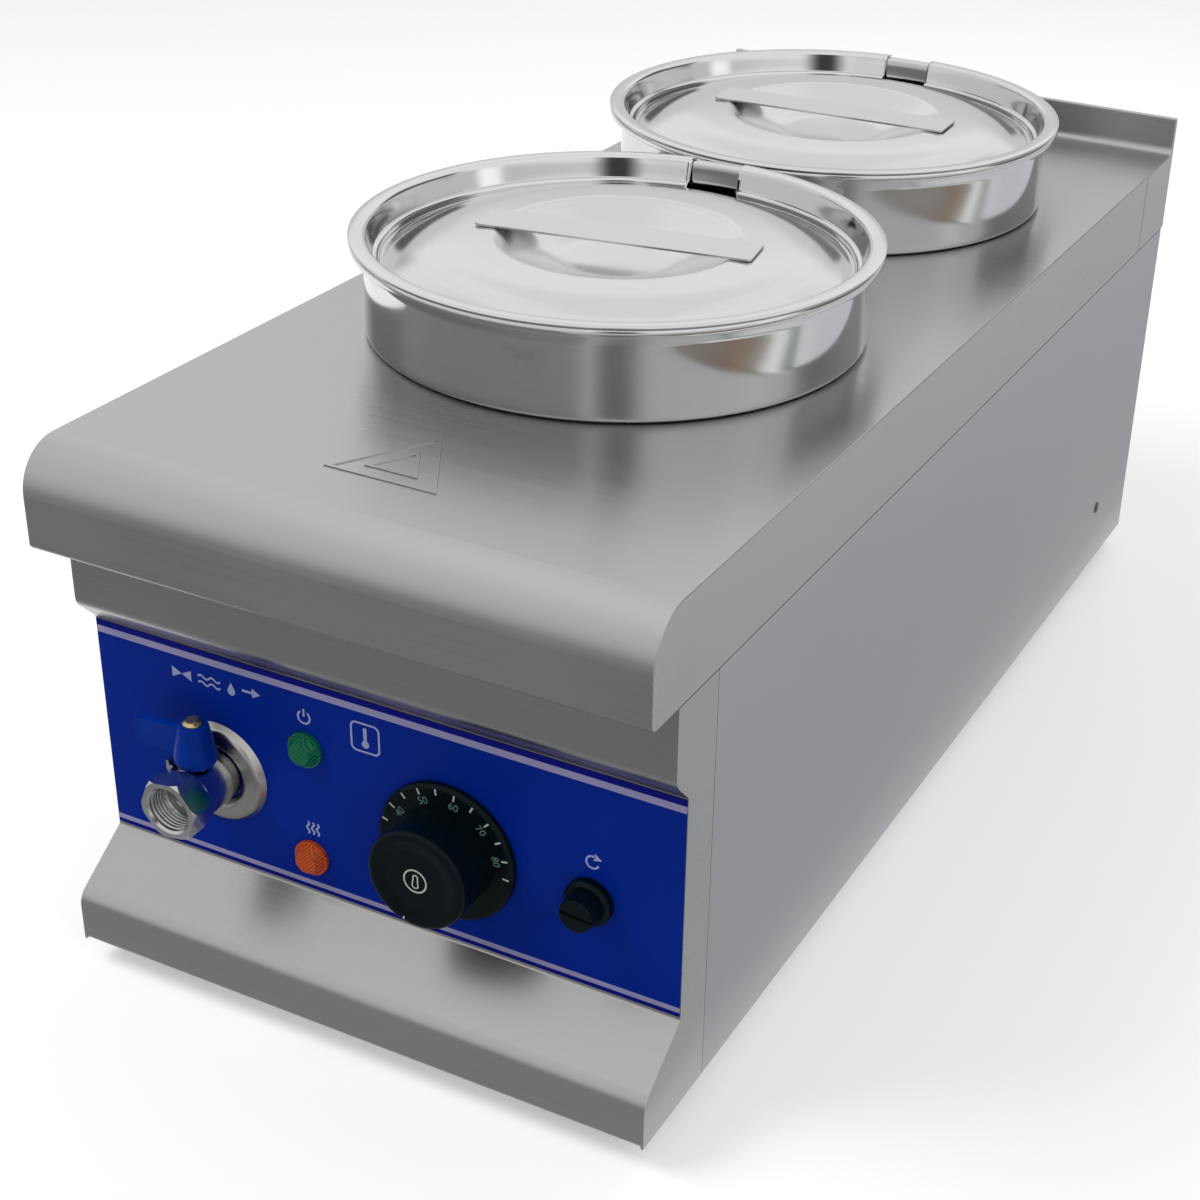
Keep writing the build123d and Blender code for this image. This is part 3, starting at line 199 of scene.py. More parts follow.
floor = flat_mesh("floor", floor_corners)
floor_white = new_material("floor_white", Base_Color=floor_colour, Roughness=1.0, Specular_IOR_Level=0.0,
                           Emission_Color=(1, 1, 1))
floor_glow = combined(floor_white, seen_share(floor_white), floor_lift, "MULTIPLY")
link_shader(floor_white, Emission_Strength=floor_glow)
floor.data.materials.append(floor_white)


def soft_lamp(name, place, aim, size, power):
    """A rectangular soft box turned to a point."""
    data = bpy.data.lights.new(name, "AREA")
    data.shape = "RECTANGLE"
    data.size, data.size_y = size
    data.energy = power
    lamp = bpy.data.objects.new(name, data)
    lamp.location = place
    lamp.rotation_euler = (Vector(aim) - Vector(place)).to_track_quat("-Z", "Y").to_euler()
    lamp.visible_glossy = False
    bpy.context.scene.collection.objects.link(lamp)


soft_lamp("key_lamp", (-1.3, -0.9, 1.9), (0, 0, 0.2), (1.4, 1.0), 26)
soft_lamp("fill_lamp", (1.7, -0.9, 1.3), (0, 0, 0.1), (1.2, 1.2), 9)
soft_lamp("back_lamp", (0.3, 1.7, 1.6), (0, 0, 0.2), (1.4, 0.7), 10)


def grey_flag(name, corners, grey):
    """A sheet that shows only in reflections."""
    flag = flat_mesh(name, corners)
    shade = new_material(name, Base_Color=(0, 0, 0), Specular_IOR_Level=0.0, Roughness=1.0,
                         Emission_Color=(grey, grey * 1.01, grey * 1.03), Emission_Strength=1.0)
    flag.data.materials.append(shade)
    flag.visible_camera = False
    flag.visible_diffuse = False
    flag.visible_shadow = False
    flag.visible_transmission = False
    return shade


def floor_flag(name, x_span, y_span, layers, grey):
    """A grey flag on the floor; layers is how many flags up it lies."""
    height = layers * flag_height
    corners = [(x, y, height) for x, y in ((x_span[0], y_span[0]), (x_span[1], y_span[0]),
                                           (x_span[1], y_span[1]), (x_span[0], y_span[1]))]
    return grey_flag(name, corners, grey)


flag_height = 0.0015
flag_reach = 3.0
side_start = 0.165
front_start = -0.3435
toe_reach = -0.47
floor_flag("front_flag", (-flag_reach, side_start), (-flag_reach, toe_reach), 1, 0.22)
floor_flag("toe_flag", (-flag_reach, side_start), (toe_reach, front_start), 1, 0.32)
floor_flag("side_flag", (side_start, flag_reach), (-flag_reach, flag_reach), 1, 0.50)


# The far side of the room, which only the pots see past the worktop's edge: furniture, a
# bright window and a pale wall, as soft stripes
room_lean = 1.69
room_span = (-1.95, -0.75)
room_width, room_length = (0.38, 1.4), (-1.1, 1.45)
room_stripes = ((0.0, (0.30, 0.28, 0.26)), (0.06, (0.20, 0.17, 0.15)), (0.078, (0.03, 0.03, 0.03)),
                (0.095, (0.32, 0.21, 0.15)), (0.14, (0.10, 0.07, 0.06)), (0.17, (0.50, 0.27, 0.18)),
                (0.23, (0.25, 0.23, 0.16)), (0.30, (0.20, 0.19, 0.14)), (0.325, (0.04, 0.06, 0.09)),
                (0.345, (1.15, 1.15, 1.15)), (0.48, (1.15, 1.15, 1.15)), (0.50, (0.34, 0.38, 0.36)),
                (0.60, (0.28, 0.32, 0.30)), (0.625, (0.12, 0.15, 0.15)), (0.645, (0.80, 0.80, 0.82)),
                (1.0, (0.68, 0.68, 0.72)))
room_flag = floor_flag("room_flag", room_width, room_length, 2, 0.0)
room_place = add_node(room_flag, "TexCoord").outputs["Object"]
room_run = add_node(room_flag, "VectorMath", {0: room_place, 1: (-room_lean, 1, 0)}, operation="DOT_PRODUCT")
room_share = scaled(room_flag, room_run.outputs["Value"], room_span, (0, 1))
room_ramp = add_node(room_flag, "ValToRGB", {"Fac": room_share})
room_stops = room_ramp.color_ramp.elements
for index, (position, colour) in enumerate(room_stripes):
    stop = room_stops[index] if index < 2 else room_stops.new(position)
    stop.position = position
    stop.color = (*colour, 1)
link_shader(room_flag, Emission_Color=room_ramp.outputs["Color"])


# Worktop
# One pressed sheet of brushed stainless steel, folded down at the front and sides, with
# its corner seams ground smooth, and turned up at the back.

def noise(material, place, scale, detail=3.0, **inputs):
    """A noise pattern's level."""
    values = {"Vector": place, "Scale": scale, "Detail": detail, **inputs}
    return add_node(material, "TexNoise", values).outputs["Fac"]


def tinted(material, colour, tone):
    """A colour made lighter or darker by a pattern."""
    return add_node(material, "VectorMath", {0: colour, "Scale": tone}, operation="SCALE").outputs[0]


def skin(material, height, strength, distance):
    """Fine relief too small to model."""
    bump = add_node(material, "Bump", {"Height": height, "Strength": strength, "Distance": distance})
    return bump.outputs[0]


brush_depth = 0.00002
brush_span = (0.6, 1.4)
cloud_span = (0.3, 0.7)


def brushed_steel(name, colour, roughness, grain, stretch=0.55):
    """Brushed stainless sheet; grain is how fine the pattern is along X, Y and Z."""
    material = new_material(name, Metallic=1.0, Anisotropic=stretch, Anisotropic_Rotation=0.25)
    place = add_node(material, "TexCoord").outputs["Object"]
    lines = add_node(material, "Mapping", {"Vector": place, "Scale": grain}).outputs[0]
    fine = noise(material, lines, 1.0, Roughness=0.7)
    both = combined(material, fine, noise(material, place, 9.0), "ADD")
    tone = scaled(material, both, brush_span, (0.96, 1.04))
    rough = scaled(material, both, brush_span, (roughness * 0.85, roughness * 1.2))
    flow = min(range(3), key=lambda axis: grain[axis])
    along = add_node(material, "CombineXYZ", {flow: 1.0}).outputs[0]
    link_shader(material, Base_Color=tinted(material, colour, tone), Roughness=rough,
                Normal=skin(material, fine, 0.4, brush_depth), Tangent=along)
    return material


def dress(material, *names):
    """Puts a material on carried-over nodes."""
    for name in names:
        mesh = nodes[name].data
        mesh.materials.clear()
        mesh.materials.append(material)


grain_fine = 1100.0
grain_long = 7.0
grain_across = (grain_long, grain_fine, grain_fine)
grain_deep = (grain_fine, grain_long, grain_fine)
worktop_steel = brushed_steel("worktop_steel", (0.51, 0.525, 0.515), 0.30, grain_across, stretch=0.8)
dress(worktop_steel, "worktop")


# Front
# Folded from one sheet, brushed across the front, with the cheeks welded on and the seams
# ground. The control panel lies back between the toe and the strip under the worktop.

fascia_steel = brushed_steel("fascia_steel", (0.49, 0.495, 0.49), 0.28, grain_across)
dress(fascia_steel, "front_fascia")


# Side, rear and base panels
# Flat brushed sheet with folded edges, screwed together low down and at the back.

panel_steel = brushed_steel("panel_steel", (0.49, 0.505, 0.52), 0.33, grain_deep)
rear_steel = brushed_steel("rear_steel", (0.47, 0.475, 0.48), 0.36, grain_across)
dress(panel_steel, "left_side_panel", "right_side_panel")
dress(rear_steel, "rear_panel", "base_tray")


# Control label
# A printed film, deep blue with two pale lines and a thin blue one at its top and bottom,
# stuck on the panel and cut out round the controls.

label_low, label_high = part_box("control_label")
label_blue = (0.0, 0.019, 0.26)
label_pale = (0.30, 0.29, 0.48)
label_thin = (0.003, 0.006, 0.20)
mm = 0.001
stripe_edges = ((label_low.z + 1.9 * mm, label_thin), (label_low.z + 4.5 * mm, label_pale),
                (label_high.z - 6.5 * mm, label_blue), (label_high.z - 3.4 * mm, label_pale),
                (label_high.z, label_thin))


def printed_film():
    """Gloss film whose stripes follow the height."""
    material = new_material("printed_film", Roughness=0.4, Specular_IOR_Level=0.04)
    place = add_node(material, "TexCoord").outputs["Object"]
    height = add_node(material, "SeparateXYZ", {0: place}).outputs["Z"]
    share = scaled(material, height, (label_low.z, label_high.z), (0, 1))
    ramp = add_node(material, "ValToRGB", {"Fac": share})
    ramp.color_ramp.interpolation = "CONSTANT"
    stops = ramp.color_ramp.elements
    start = 0.0
    for index, (edge, colour) in enumerate(stripe_edges):
        stop = stops[index] if index < 2 else stops.new(start)
        stop.position = start
        stop.color = (*colour, 1)
        start = (edge - label_low.z) / (label_high.z - label_low.z)
    tone = scaled(material, noise(material, place, 14.0, 2.0), cloud_span, (0.9, 1.1))
    link_shader(material, Base_Color=tinted(material, ramp.outputs["Color"], tone),
                Normal=skin(material, noise(material, place, 900.0, 2.0), 0.15, 0.00002))
    return material


dress(printed_film(), "control_label")


# Marks on the label
# Pale ink: a row of drain signs, a mains and a heat sign by the lamps, a framed thermometer
# and a turning arrow. Each is a closed skin as thin as a print.

ink_depth = 0.06 * mm
label_face = label_low.y


def piece_from(name, shape, material, body):
    """A finished piece from a bmesh, riding on a body."""
    mesh = bpy.data.meshes.new(name)
    bmesh.ops.recalc_face_normals(shape, faces=shape.faces)
    shape.to_mesh(mesh)
    shape.free()
    mesh.materials.append(material)
    piece = bpy.data.objects.new(name, mesh)
    bpy.context.scene.collection.objects.link(piece)
    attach(piece, body)
    return piece


def stroke(shape, points, width, face_y, closed=False):
    """A line of even width along points in X and Z, raised a print's depth off a face."""
    count = len(points)
    rings = []
    for index, point in enumerate(points):
        before = points[index - 1] if closed or index else point
        after = points[(index + 1) % count] if closed or index < count - 1 else point
        way = (Vector(after) - Vector(before)).normalized()
        across = Vector((-way.y, way.x)) * width / 2
        corners = [Vector(point) + across, Vector(point) - across]
        rings.append([shape.verts.new((corner.x, y, corner.y)) for y, order in
                      ((face_y - ink_depth, 1), (face_y, -1)) for corner in corners[::order]])
    spans = range(count) if closed else range(count - 1)
    for index in spans:
        near, far = rings[index], rings[(index + 1) % count]
        for side in range(4):
            shape.faces.new((near[side], near[(side + 1) % 4], far[(side + 1) % 4], far[side]))
    if not closed:
        shape.faces.new(rings[0][::-1])
        shape.faces.new(rings[-1])


def patch(shape, points, face_y):
    """A filled outline in X and Z, raised a print's depth off a face."""
    front = [shape.verts.new((x, face_y - ink_depth, z)) for x, z in points]
    back = [shape.verts.new((x, face_y, z)) for x, z in points]
    shape.faces.new(front)
    shape.faces.new(back[::-1])
    for index in range(len(points)):
        after = (index + 1) % len(points)
        shape.faces.new((front[index], front[after], back[after], back[index]))


def arc(centre, radius, start, end, steps):
    """Points round a centre; degrees run anticlockwise from +X."""
    turns = [radians(start + (end - start) * step / steps) for step in range(steps + 1)]
    return [(centre[0] + radius * cos(turn), centre[1] + radius * sin(turn)) for turn in turns]


def beside(point, right, up):
    """A point some millimetres to the right of and above another."""
    return point[0] + right * mm, point[1] + up * mm


def wave(start, length, swing, turns, steps, upright=False):
    """Points along a wavy line."""
    points = []
    for step in range(steps + 1):
        run, sway = length * step / steps, swing * sin(2 * pi * turns * step / steps)
        points.append((start[0] + (sway if upright else run), start[1] + (run if upright else sway)))
    return points


def drop_outline(centre, height):
    """A water drop, point up."""
    radius = height * 0.31
    low = (centre[0], centre[1] - height / 2 + radius)
    return [(centre[0], centre[1] + height / 2)] + arc(low, radius, 150, 390, 20)


def ink(name, colour):
    """Matt printing ink with a slightly uneven edge tone."""
    material = new_material(name, Roughness=0.55, Specular_IOR_Level=0.1)
    place = add_node(material, "TexCoord").outputs["Object"]
    tone = scaled(material, noise(material, place, 1400.0, 2.0), cloud_span, (0.82, 1.05))
    link_shader(material, Base_Color=tinted(material, colour, tone))
    return material


pale_ink = ink("pale_ink", (0.34, 0.38, 0.62))
mark_line = 0.95 * mm

drain_marks = bmesh.new()
drain_row = (-109.0 * mm, 155.0 * mm)
valve_sign = beside(drain_row, 6.4, 0)
for side in (-1, 1):
    patch(drain_marks, [valve_sign, beside(valve_sign, side * 5.2, side * 2.7),
                        beside(valve_sign, side * 5.2, side * -2.7)], label_face)
for rise in (-1.6, 1.6):
    stroke(drain_marks, wave(beside(drain_row, 15.5, rise), 12 * mm, 0.8 * mm, 2, 32), mark_line, label_face)
patch(drain_marks, drop_outline(beside(drain_row, 33.5, 0), 6.6 * mm), label_face)
arrow_sign = beside(drain_row, 43, 1.2)
stroke(drain_marks, [beside(arrow_sign, -3.5, 0), beside(arrow_sign, 2, 0)], mark_line * 1.3, label_face)
patch(drain_marks, [beside(arrow_sign, 1.8, 2.4), beside(arrow_sign, 6.2, 0),
                    beside(arrow_sign, 1.8, -2.4)], label_face)
piece_from("drain_marks", drain_marks, pale_ink, "cabinet")

lamp_marks = bmesh.new()
mains_mark, heat_mark = (-36.9 * mm, 152.2 * mm), (-35.8 * mm, 94.2 * mm)
stroke(lamp_marks, arc(mains_mark, 3.1 * mm, 125, 415, 30), mark_line, label_face)
stroke(lamp_marks, [beside(mains_mark, 0, 0.4), beside(mains_mark, 0, 4.2)], mark_line, label_face)
for shift in (-2.6, 0, 2.6):
    heat_line = wave(beside(heat_mark, shift, -3.2), 6.4 * mm, 0.65 * mm, 1.5, 24, upright=True)
    stroke(lamp_marks, heat_line, mark_line, label_face)
piece_from("lamp_marks", lamp_marks, pale_ink, "cabinet")

thermometer_mark = bmesh.new()
frame_centre = (-5.1 * mm, 151.3 * mm)
frame_half, frame_round = 7.1, 2.6
frame_inset = frame_half - frame_round
frame_line = []
for turn, (side, rise) in enumerate(((1, 1), (-1, 1), (-1, -1), (1, -1))):
    corner = beside(frame_centre, side * frame_inset, rise * frame_inset)
    frame_line += arc(corner, frame_round * mm, 90 * turn, 90 * turn + 90, 8)
stroke(thermometer_mark, frame_line, mark_line, label_face, closed=True)
bulb = arc(beside(frame_centre, 0, -3.2), 1.9 * mm, 115, 425, 28)
stem = arc(beside(frame_centre, 0, 4.2), 0.95 * mm, 0, 180, 10)
patch(thermometer_mark, bulb + stem, label_face)
piece_from("thermometer_mark", thermometer_mark, pale_ink, "cabinet")

reset_mark = bmesh.new()
reset_centre = (106.6 * mm, 125.6 * mm)
reset_line = arc(reset_centre, 3.0 * mm, 60, 340, 30)
stroke(reset_mark, reset_line, mark_line, label_face)
reset_head = reset_line[0]
patch(reset_mark, [beside(reset_head, -0.4, 2.1), beside(reset_head, 3.0, -0.7),
                   beside(reset_head, -1.0, -1.7)], label_face)
piece_from("reset_mark", reset_mark, pale_ink, "cabinet")


# Hidden tank and drain pipe
# Drawn and left dull, with the heater and the sensor fixed through its front wall.

tank_grain = (400.0, 400.0, 60.0)
tank_steel = brushed_steel("tank_steel", (0.44, 0.45, 0.46), 0.42, tank_grain)
dress(tank_steel, "water_tank", "drain_pipe", "probe_posts")


# Pots
# Spun from stainless sheet and polished, with a rolled rim and a shoulder that sits on the
# worktop.

def spun_steel(name, colour, finish, satin_edge, centre, stretch):
    """Spun sheet with fine rings; finish is its roughness inside and past the satin edge."""
    material = new_material(name, Metallic=1.0, Anisotropic=stretch, Anisotropic_Rotation=0.25)
    place = add_node(material, "TexCoord").outputs["Object"]
    local = add_node(material, "Mapping", {"Vector": place, "Location": (-centre.x, -centre.y, 0)})
    flat = add_node(material, "Mapping", {"Vector": local.outputs[0], "Scale": (1, 1, 0)})
    radius = add_node(material, "VectorMath", {0: flat.outputs[0]}, operation="LENGTH").outputs["Value"]
    height = add_node(material, "SeparateXYZ", {0: local.outputs[0]}).outputs["Z"]
    ring = add_node(material, "CombineXYZ", {"X": radius, "Y": height})
    flow = add_node(material, "VectorMath", {0: (0, 0, 1), 1: flat.outputs[0]}, operation="CROSS_PRODUCT")
    fine = noise(material, ring.outputs[0], 1300.0)
    zone = scaled(material, radius, (satin_edge - 1 * mm, satin_edge + 1 * mm), finish)
    drift = scaled(material, noise(material, place, 22.0), cloud_span, (0.85, 1.2))
    rough = combined(material, zone, drift, "MULTIPLY")
    tone = scaled(material, fine, cloud_span, (0.985, 1.015))
    link_shader(material, Base_Color=tinted(material, colour, tone), Roughness=rough,
                Normal=skin(material, fine, 0.1, 0.00001), Tangent=flow.outputs[0])
    return material


def middle(name):
    """Centre of a node's box."""
    low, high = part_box(name)
    return (low + high) / 2


def rounded_line(path, steps=7, stride=0.003):
    """Points along a line in radius and height; a corner's third value is how far it is rounded."""
    points = [Vector(path[0][:2])]
    for before, corner, after in zip(path, path[1:], path[2:]):
        here = Vector(corner[:2])
        into = (here - Vector(before[:2])).normalized()
        out = (Vector(after[:2]) - here).normalized()
        half = into.angle(out) / 2
        bend = corner[2]
        centre = here + (out - into).normalized() * bend / cos(half)
        start = here - into * bend * tan(half) - centre
        end = here + out * bend * tan(half) - centre
        points += [centre + start.slerp(end, index / steps).normalized() * bend
                   for index in range(steps + 1)]
    points.append(Vector(path[-1][:2]))
    line = points[:1]
    for start, end in zip(points, points[1:]):
        pieces = max(1, round((end - start).length / stride))
        line += [start.lerp(end, (index + 1) / pieces) for index in range(pieces)]
    return line


def sheet_outline(line, thickness):
    """Outline of a sheet on the left of a line that starts on the axis, its far edge rounded."""
    ways = [(after - before).normalized() for before, after in zip(line, line[1:])]
    lefts = [Vector((-way.y, way.x)) for way in ways]
    sides = [lefts[0]] + [(a + b).normalized() for a, b in zip(lefts, lefts[1:])] + [lefts[-1]]
    upper = [point + side * thickness for point, side in zip(line, sides)]
    edge = [line[-1].lerp(upper[-1], 0.5) + (ways[-1] * sin(turn) - lefts[-1] * cos(turn)) * thickness / 2
            for turn in (pi * index / 6 for index in range(1, 6))]
    return line + edge + upper[::-1]


def turned(outline, centre, steps=224):
    """A smooth bmesh of an outline turned round an upright axis on which it starts and ends."""
    shape = bmesh.new()
    rings = []
    for turn in (2 * pi * index / steps for index in range(steps)):
        across, ahead = cos(turn), sin(turn)
        rings.append([shape.verts.new((centre.x + point.x * across, centre.y + point.x * ahead, point.y))
                      for point in outline[1:-1]])
    poles = [shape.verts.new((centre.x, centre.y, point.y)) for point in (outline[0], outline[-1])]
    for index, ring in enumerate(rings):
        after = rings[(index + 1) % steps]
        for low in range(len(ring) - 1):
            shape.faces.new((ring[low], after[low], after[low + 1], ring[low + 1]))
        shape.faces.new((poles[0], after[0], ring[0]))
        shape.faces.new((poles[1], ring[-1], after[-1]))
    for face in shape.faces:
        face.smooth = True
    return shape


def in_metres(path):
    """A path given in millimetres."""
    return [tuple(value * mm for value in point) for point in path]


pot_sheet = 0.8
pot_seat = 266.9
pot_rim = 313.5
pot_floor = pot_seat - 102
well_radius = 112
shoulder_radius = 120.95
neck_radius = 120.2
rim_radius = 126.2
rim_under = pot_rim - pot_sheet
pot_path = in_metres([(0, pot_floor), (well_radius, pot_floor, 10), (well_radius, pot_seat, 1),
                      (shoulder_radius, pot_seat, 3.2), (neck_radius, pot_rim - 10, 14),
                      (neck_radius + 1, rim_under, 1.2), (rim_radius, rim_under, 1.6),
                      (rim_radius, pot_rim - 3.8)])
pot_colour = (0.655, 0.665, 0.665)
pot_satin_edge = 100 * mm
for row in ("front", "rear"):
    centre = middle(f"{row}_pot")
    pot_steel = spun_steel(f"{row}_pot_steel", pot_colour, (0.16, 0.10), pot_satin_edge, centre, 0.4)
    pot_shape = turned(sheet_outline(rounded_line(pot_path), pot_sheet * mm), centre)
    pot = piece_from(f"{row}_pot_shell", pot_shape, pot_steel, f"{row}_pot")
    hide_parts(f"{row}_pot")


# Lids
# Spun stainless lids with a satin crown, a polished wall and rim, a notch for the ladle and
# a flat strap welded across the dish for a handle.

lid_sheet = 0.8
lid_seat = pot_rim + 0.3
lid_satin_edge = 111.5 * mm
lid_colour = (0.69, 0.70, 0.69)

# Each point has its radius, its depth under the rim's top and how far its corner is rounded.
lid_dish = [(0, 13.9), (30, 13.9, 30)]
lid_crown = [(59.5, 3, 7), (88, 3.9, 60)]
lid_trough = [(111, 14.3, 4), (113.6, 14.5, 1.2), (114.2, 10.9, 1)]
lid_wall = [(116.6, 10.6, 1.2), (119.7, 0, 1.6)]
lid_rim = [(124.6, 0, 4), (126.7, 0.22)]
lid_path = in_metres([(radius, lid_seat - depth, *bend)
                      for radius, depth, *bend in lid_dish + lid_crown + lid_trough + lid_wall + lid_rim])
notch_width = 27 * mm
notch_start = 111 * mm


def notched(shape, centre, turn):
    """The shape with a ladle notch cut from its rim, turned a few degrees from the back."""
    blank = bpy.data.objects.new("blank", bpy.data.meshes.new("blank"))
    cutter = bpy.data.objects.new("cutter", bpy.data.meshes.new("cutter"))
    shape.to_mesh(blank.data)
    shape.free()
    box = bmesh.new()
    place = Matrix.Translation((centre.x, centre.y, 0)) @ Matrix.Rotation(radians(turn), 4, "Z")
    size = (notch_width, 40 * mm, 60 * mm)
    middle_of_cut = (0, notch_start + size[1] / 2, pot_rim * mm)
    place = place @ Matrix.Translation(middle_of_cut) @ Matrix.Diagonal((*size, 1))
    bmesh.ops.create_cube(box, size=1, matrix=place)
    box.to_mesh(cutter.data)
    box.free()
    for thing in (blank, cutter):
        bpy.context.scene.collection.objects.link(thing)
    cut = blank.modifiers.new("notch", "BOOLEAN")
    cut.operation = "DIFFERENCE"
    cut.solver = "MANIFOLD"
    cut.object = cutter
    depsgraph = bpy.context.evaluated_depsgraph_get()
    result = bmesh.new()
    result.from_mesh(blank.evaluated_get(depsgraph).to_mesh())
    for thing in (blank, cutter):
        bpy.data.objects.remove(thing)
    return result


for row, notch_turn in (("front", 3.4), ("rear", 1.0)):
    centre = middle(f"{row}_pot")
    lid_steel = spun_steel(f"{row}_lid_steel", lid_colour, (0.15, 0.10), lid_satin_edge, centre, 0.3)
    whole_lid = turned(sheet_outline(rounded_line(lid_path), lid_sheet * mm), centre)
    lid_shape = notched(whole_lid, centre, notch_turn)
    lid = piece_from(f"{row}_lid_shell", lid_shape, lid_steel, f"{row}_lid")
    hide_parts(f"{row}_lid")
strap_grain = (40.0, 900.0, 900.0)
strap_steel = brushed_steel("strap_steel", (0.70, 0.71, 0.70), 0.22, strap_grain)
dress(strap_steel, "front_lid_strap", "rear_lid_strap")


# Drain valve
# A plated half-inch ball valve with a hexagon mouth, a pressed cover ring behind it, and a
# moulded lever held on the stem by a brass nut.

def plain_metal(name, colour, roughness):
    """Machined or plated metal with slight unevenness."""
    material = new_material(name, Metallic=1.0)
    place = add_node(material, "TexCoord").outputs["Object"]
    cloud = noise(material, place, 75.0, 2.0)
    tone = scaled(material, cloud, cloud_span, (0.92, 1.06))
    rough = scaled(material, cloud, cloud_span, (roughness * 0.8, roughness * 1.3))
    link_shader(material, Base_Color=tinted(material, colour, tone), Roughness=rough,
                Normal=skin(material, noise(material, place, 600.0), 0.3, 0.00001))
    return material


valve_chrome = plain_metal("valve_chrome", (0.62, 0.63, 0.63), 0.19)
satin_chrome = plain_metal("satin_chrome", (0.50, 0.49, 0.46), 0.27)
brass = plain_metal("brass", (0.62, 0.50, 0.26), 0.25)
dress(valve_chrome, "valve_body", "valve_tail", "valve_ball", "packing_nut")
dress(satin_chrome, "valve_rosette")
dress(brass, "valve_stem", "lever_nut", "drain_locknut", "element_glands", "gland_nuts", "probe_gland",
      "terminal_screws", "earth_stud")


# Thread in the outlet
# A half-inch pipe thread cut in the mouth, for a hose tail.

def geometry_tree(name, inputs):
    """An empty geometry tree with named inputs; also gives each input's identifier."""
    tree = bpy.data.node_groups.new(name, "GeometryNodeTree")
    tree.interface.new_socket("Geometry", in_out="OUTPUT", socket_type="NodeSocketGeometry")
    identifiers = {}
    for label, kind in inputs.items():
        socket = tree.interface.new_socket(label, in_out="INPUT", socket_type="NodeSocket" + kind)
        identifiers[label] = socket.identifier
    return tree, identifiers


def end_tree(tree, geometry, material):
    """Realize Instances and Set Material, then the output."""
    real = make_node(tree, "GeometryNodeRealizeInstances", {"Geometry": geometry})
    painted = make_node(tree, "GeometryNodeSetMaterial", {"Geometry": real.outputs[0], "Material": material})
    make_node(tree, "NodeGroupOutput", {0: painted.outputs[0]})


def grown(name, tree, identifiers, values, body, slot):
    """A plain mesh piece from a tree and its input values."""
    piece = bpy.data.objects.new(name, bpy.data.meshes.new(name))
    bpy.context.scene.collection.objects.link(piece)
    modifier = piece.modifiers.new("grow", "NODES")
    modifier.node_group = tree
    for label, value in values.items():
        modifier[identifiers[label]] = value
    depsgraph = bpy.context.evaluated_depsgraph_get()
    mesh = bpy.data.meshes.new_from_object(piece.evaluated_get(depsgraph), depsgraph=depsgraph)
    piece.modifiers.remove(modifier)
    piece.data = mesh
    mesh.materials.clear()
    mesh.materials.append(values["Material"])
    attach(piece, body)


def thread_tree():
    """A rounded ridge wound inside a bore, along Y."""
    tree, identifiers = geometry_tree("outlet_thread", {
        "Turns": "Float", "Bore radius": "Float", "Length": "Float", "Ridge": "Float", "Centre": "Vector",
        "Material": "Material"})
    given = make_node(tree, "NodeGroupInput").outputs
    coil = make_node(tree, "GeometryNodeCurveSpiral", {
        "Resolution": 48, "Rotations": given["Turns"], "Start Radius": given["Bore radius"],
        "End Radius": given["Bore radius"], "Height": given["Length"]})
    section = make_node(tree, "GeometryNodeCurvePrimitiveCircle", {
        "Resolution": 5, "Radius": given["Ridge"]})
    ridge = make_node(tree, "GeometryNodeCurveToMesh", {
        "Curve": coil.outputs[0], "Profile Curve": section.outputs[0], "Fill Caps": True})
    placed = make_node(tree, "GeometryNodeTransform", {
        "Geometry": ridge.outputs[0], "Translation": given["Centre"], "Rotation": (-pi / 2, 0, 0)})
    end_tree(tree, placed.outputs[0], given["Material"])
    return tree, identifiers


valve_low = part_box("valve_body")[0]
outlet_axis = Vector((-85.4 * mm, 0, 109.0 * mm))
outlet_bore = 10.5 * mm
thread_pitch = 1.81 * mm
thread_turns = 5.0
thread_ridge = 0.42 * thread_pitch
thread_inset = 1.9 * mm
grown("outlet_thread", *thread_tree(), {
    "Turns": thread_turns, "Bore radius": outlet_bore, "Length": thread_turns * thread_pitch,
    "Ridge": thread_ridge, "Centre": (outlet_axis.x, valve_low.y + thread_inset, outlet_axis.z),
    "Material": valve_chrome}, "cabinet", "valve_chrome")


# Lever
# Blue moulding with a tapered hub and a flat blade, and the white parts of the valve.

def moulding(name, colour, roughness, level=0.5):
    """Moulded plastic with a fine spark-eroded skin."""
    material = new_material(name, Specular_IOR_Level=level)
    place = add_node(material, "TexCoord").outputs["Object"]
    cloud = noise(material, place, 60.0)
    tone = scaled(material, cloud, cloud_span, (0.85, 1.15))
    rough = scaled(material, cloud, cloud_span, (roughness * 0.85, roughness * 1.15))
    link_shader(material, Base_Color=tinted(material, colour, tone), Roughness=rough,
                Normal=skin(material, noise(material, place, 1500.0, 2.0), 0.3, 0.00003))
    return material


dress(moulding("lever_blue", (0.0, 0.026, 0.26), 0.36, level=0.06), "drain_lever")
dress(moulding("seat_white", (0.75, 0.75, 0.72), 0.4), "valve_seats", "reset_pin", "terminal_block")


# Thermostat knob and dial
# Black moulded knob on a skirt with a printed scale of plain numbers.

knob_black = moulding("knob_black", (0.001, 0.0052, 0.0072), 0.34, level=0.12)
dress(knob_black, "thermostat_knob", "thermostat_dial", "reset_nut", "reset_cap")
dial_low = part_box("thermostat_dial")[0]
knob_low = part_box("thermostat_knob")[0]
knob_centre = middle("thermostat_dial")
dial_white = ink("dial_white", (0.46, 0.56, 0.50))
number_white = ink("number_white", (0.13, 0.25, 0.21))


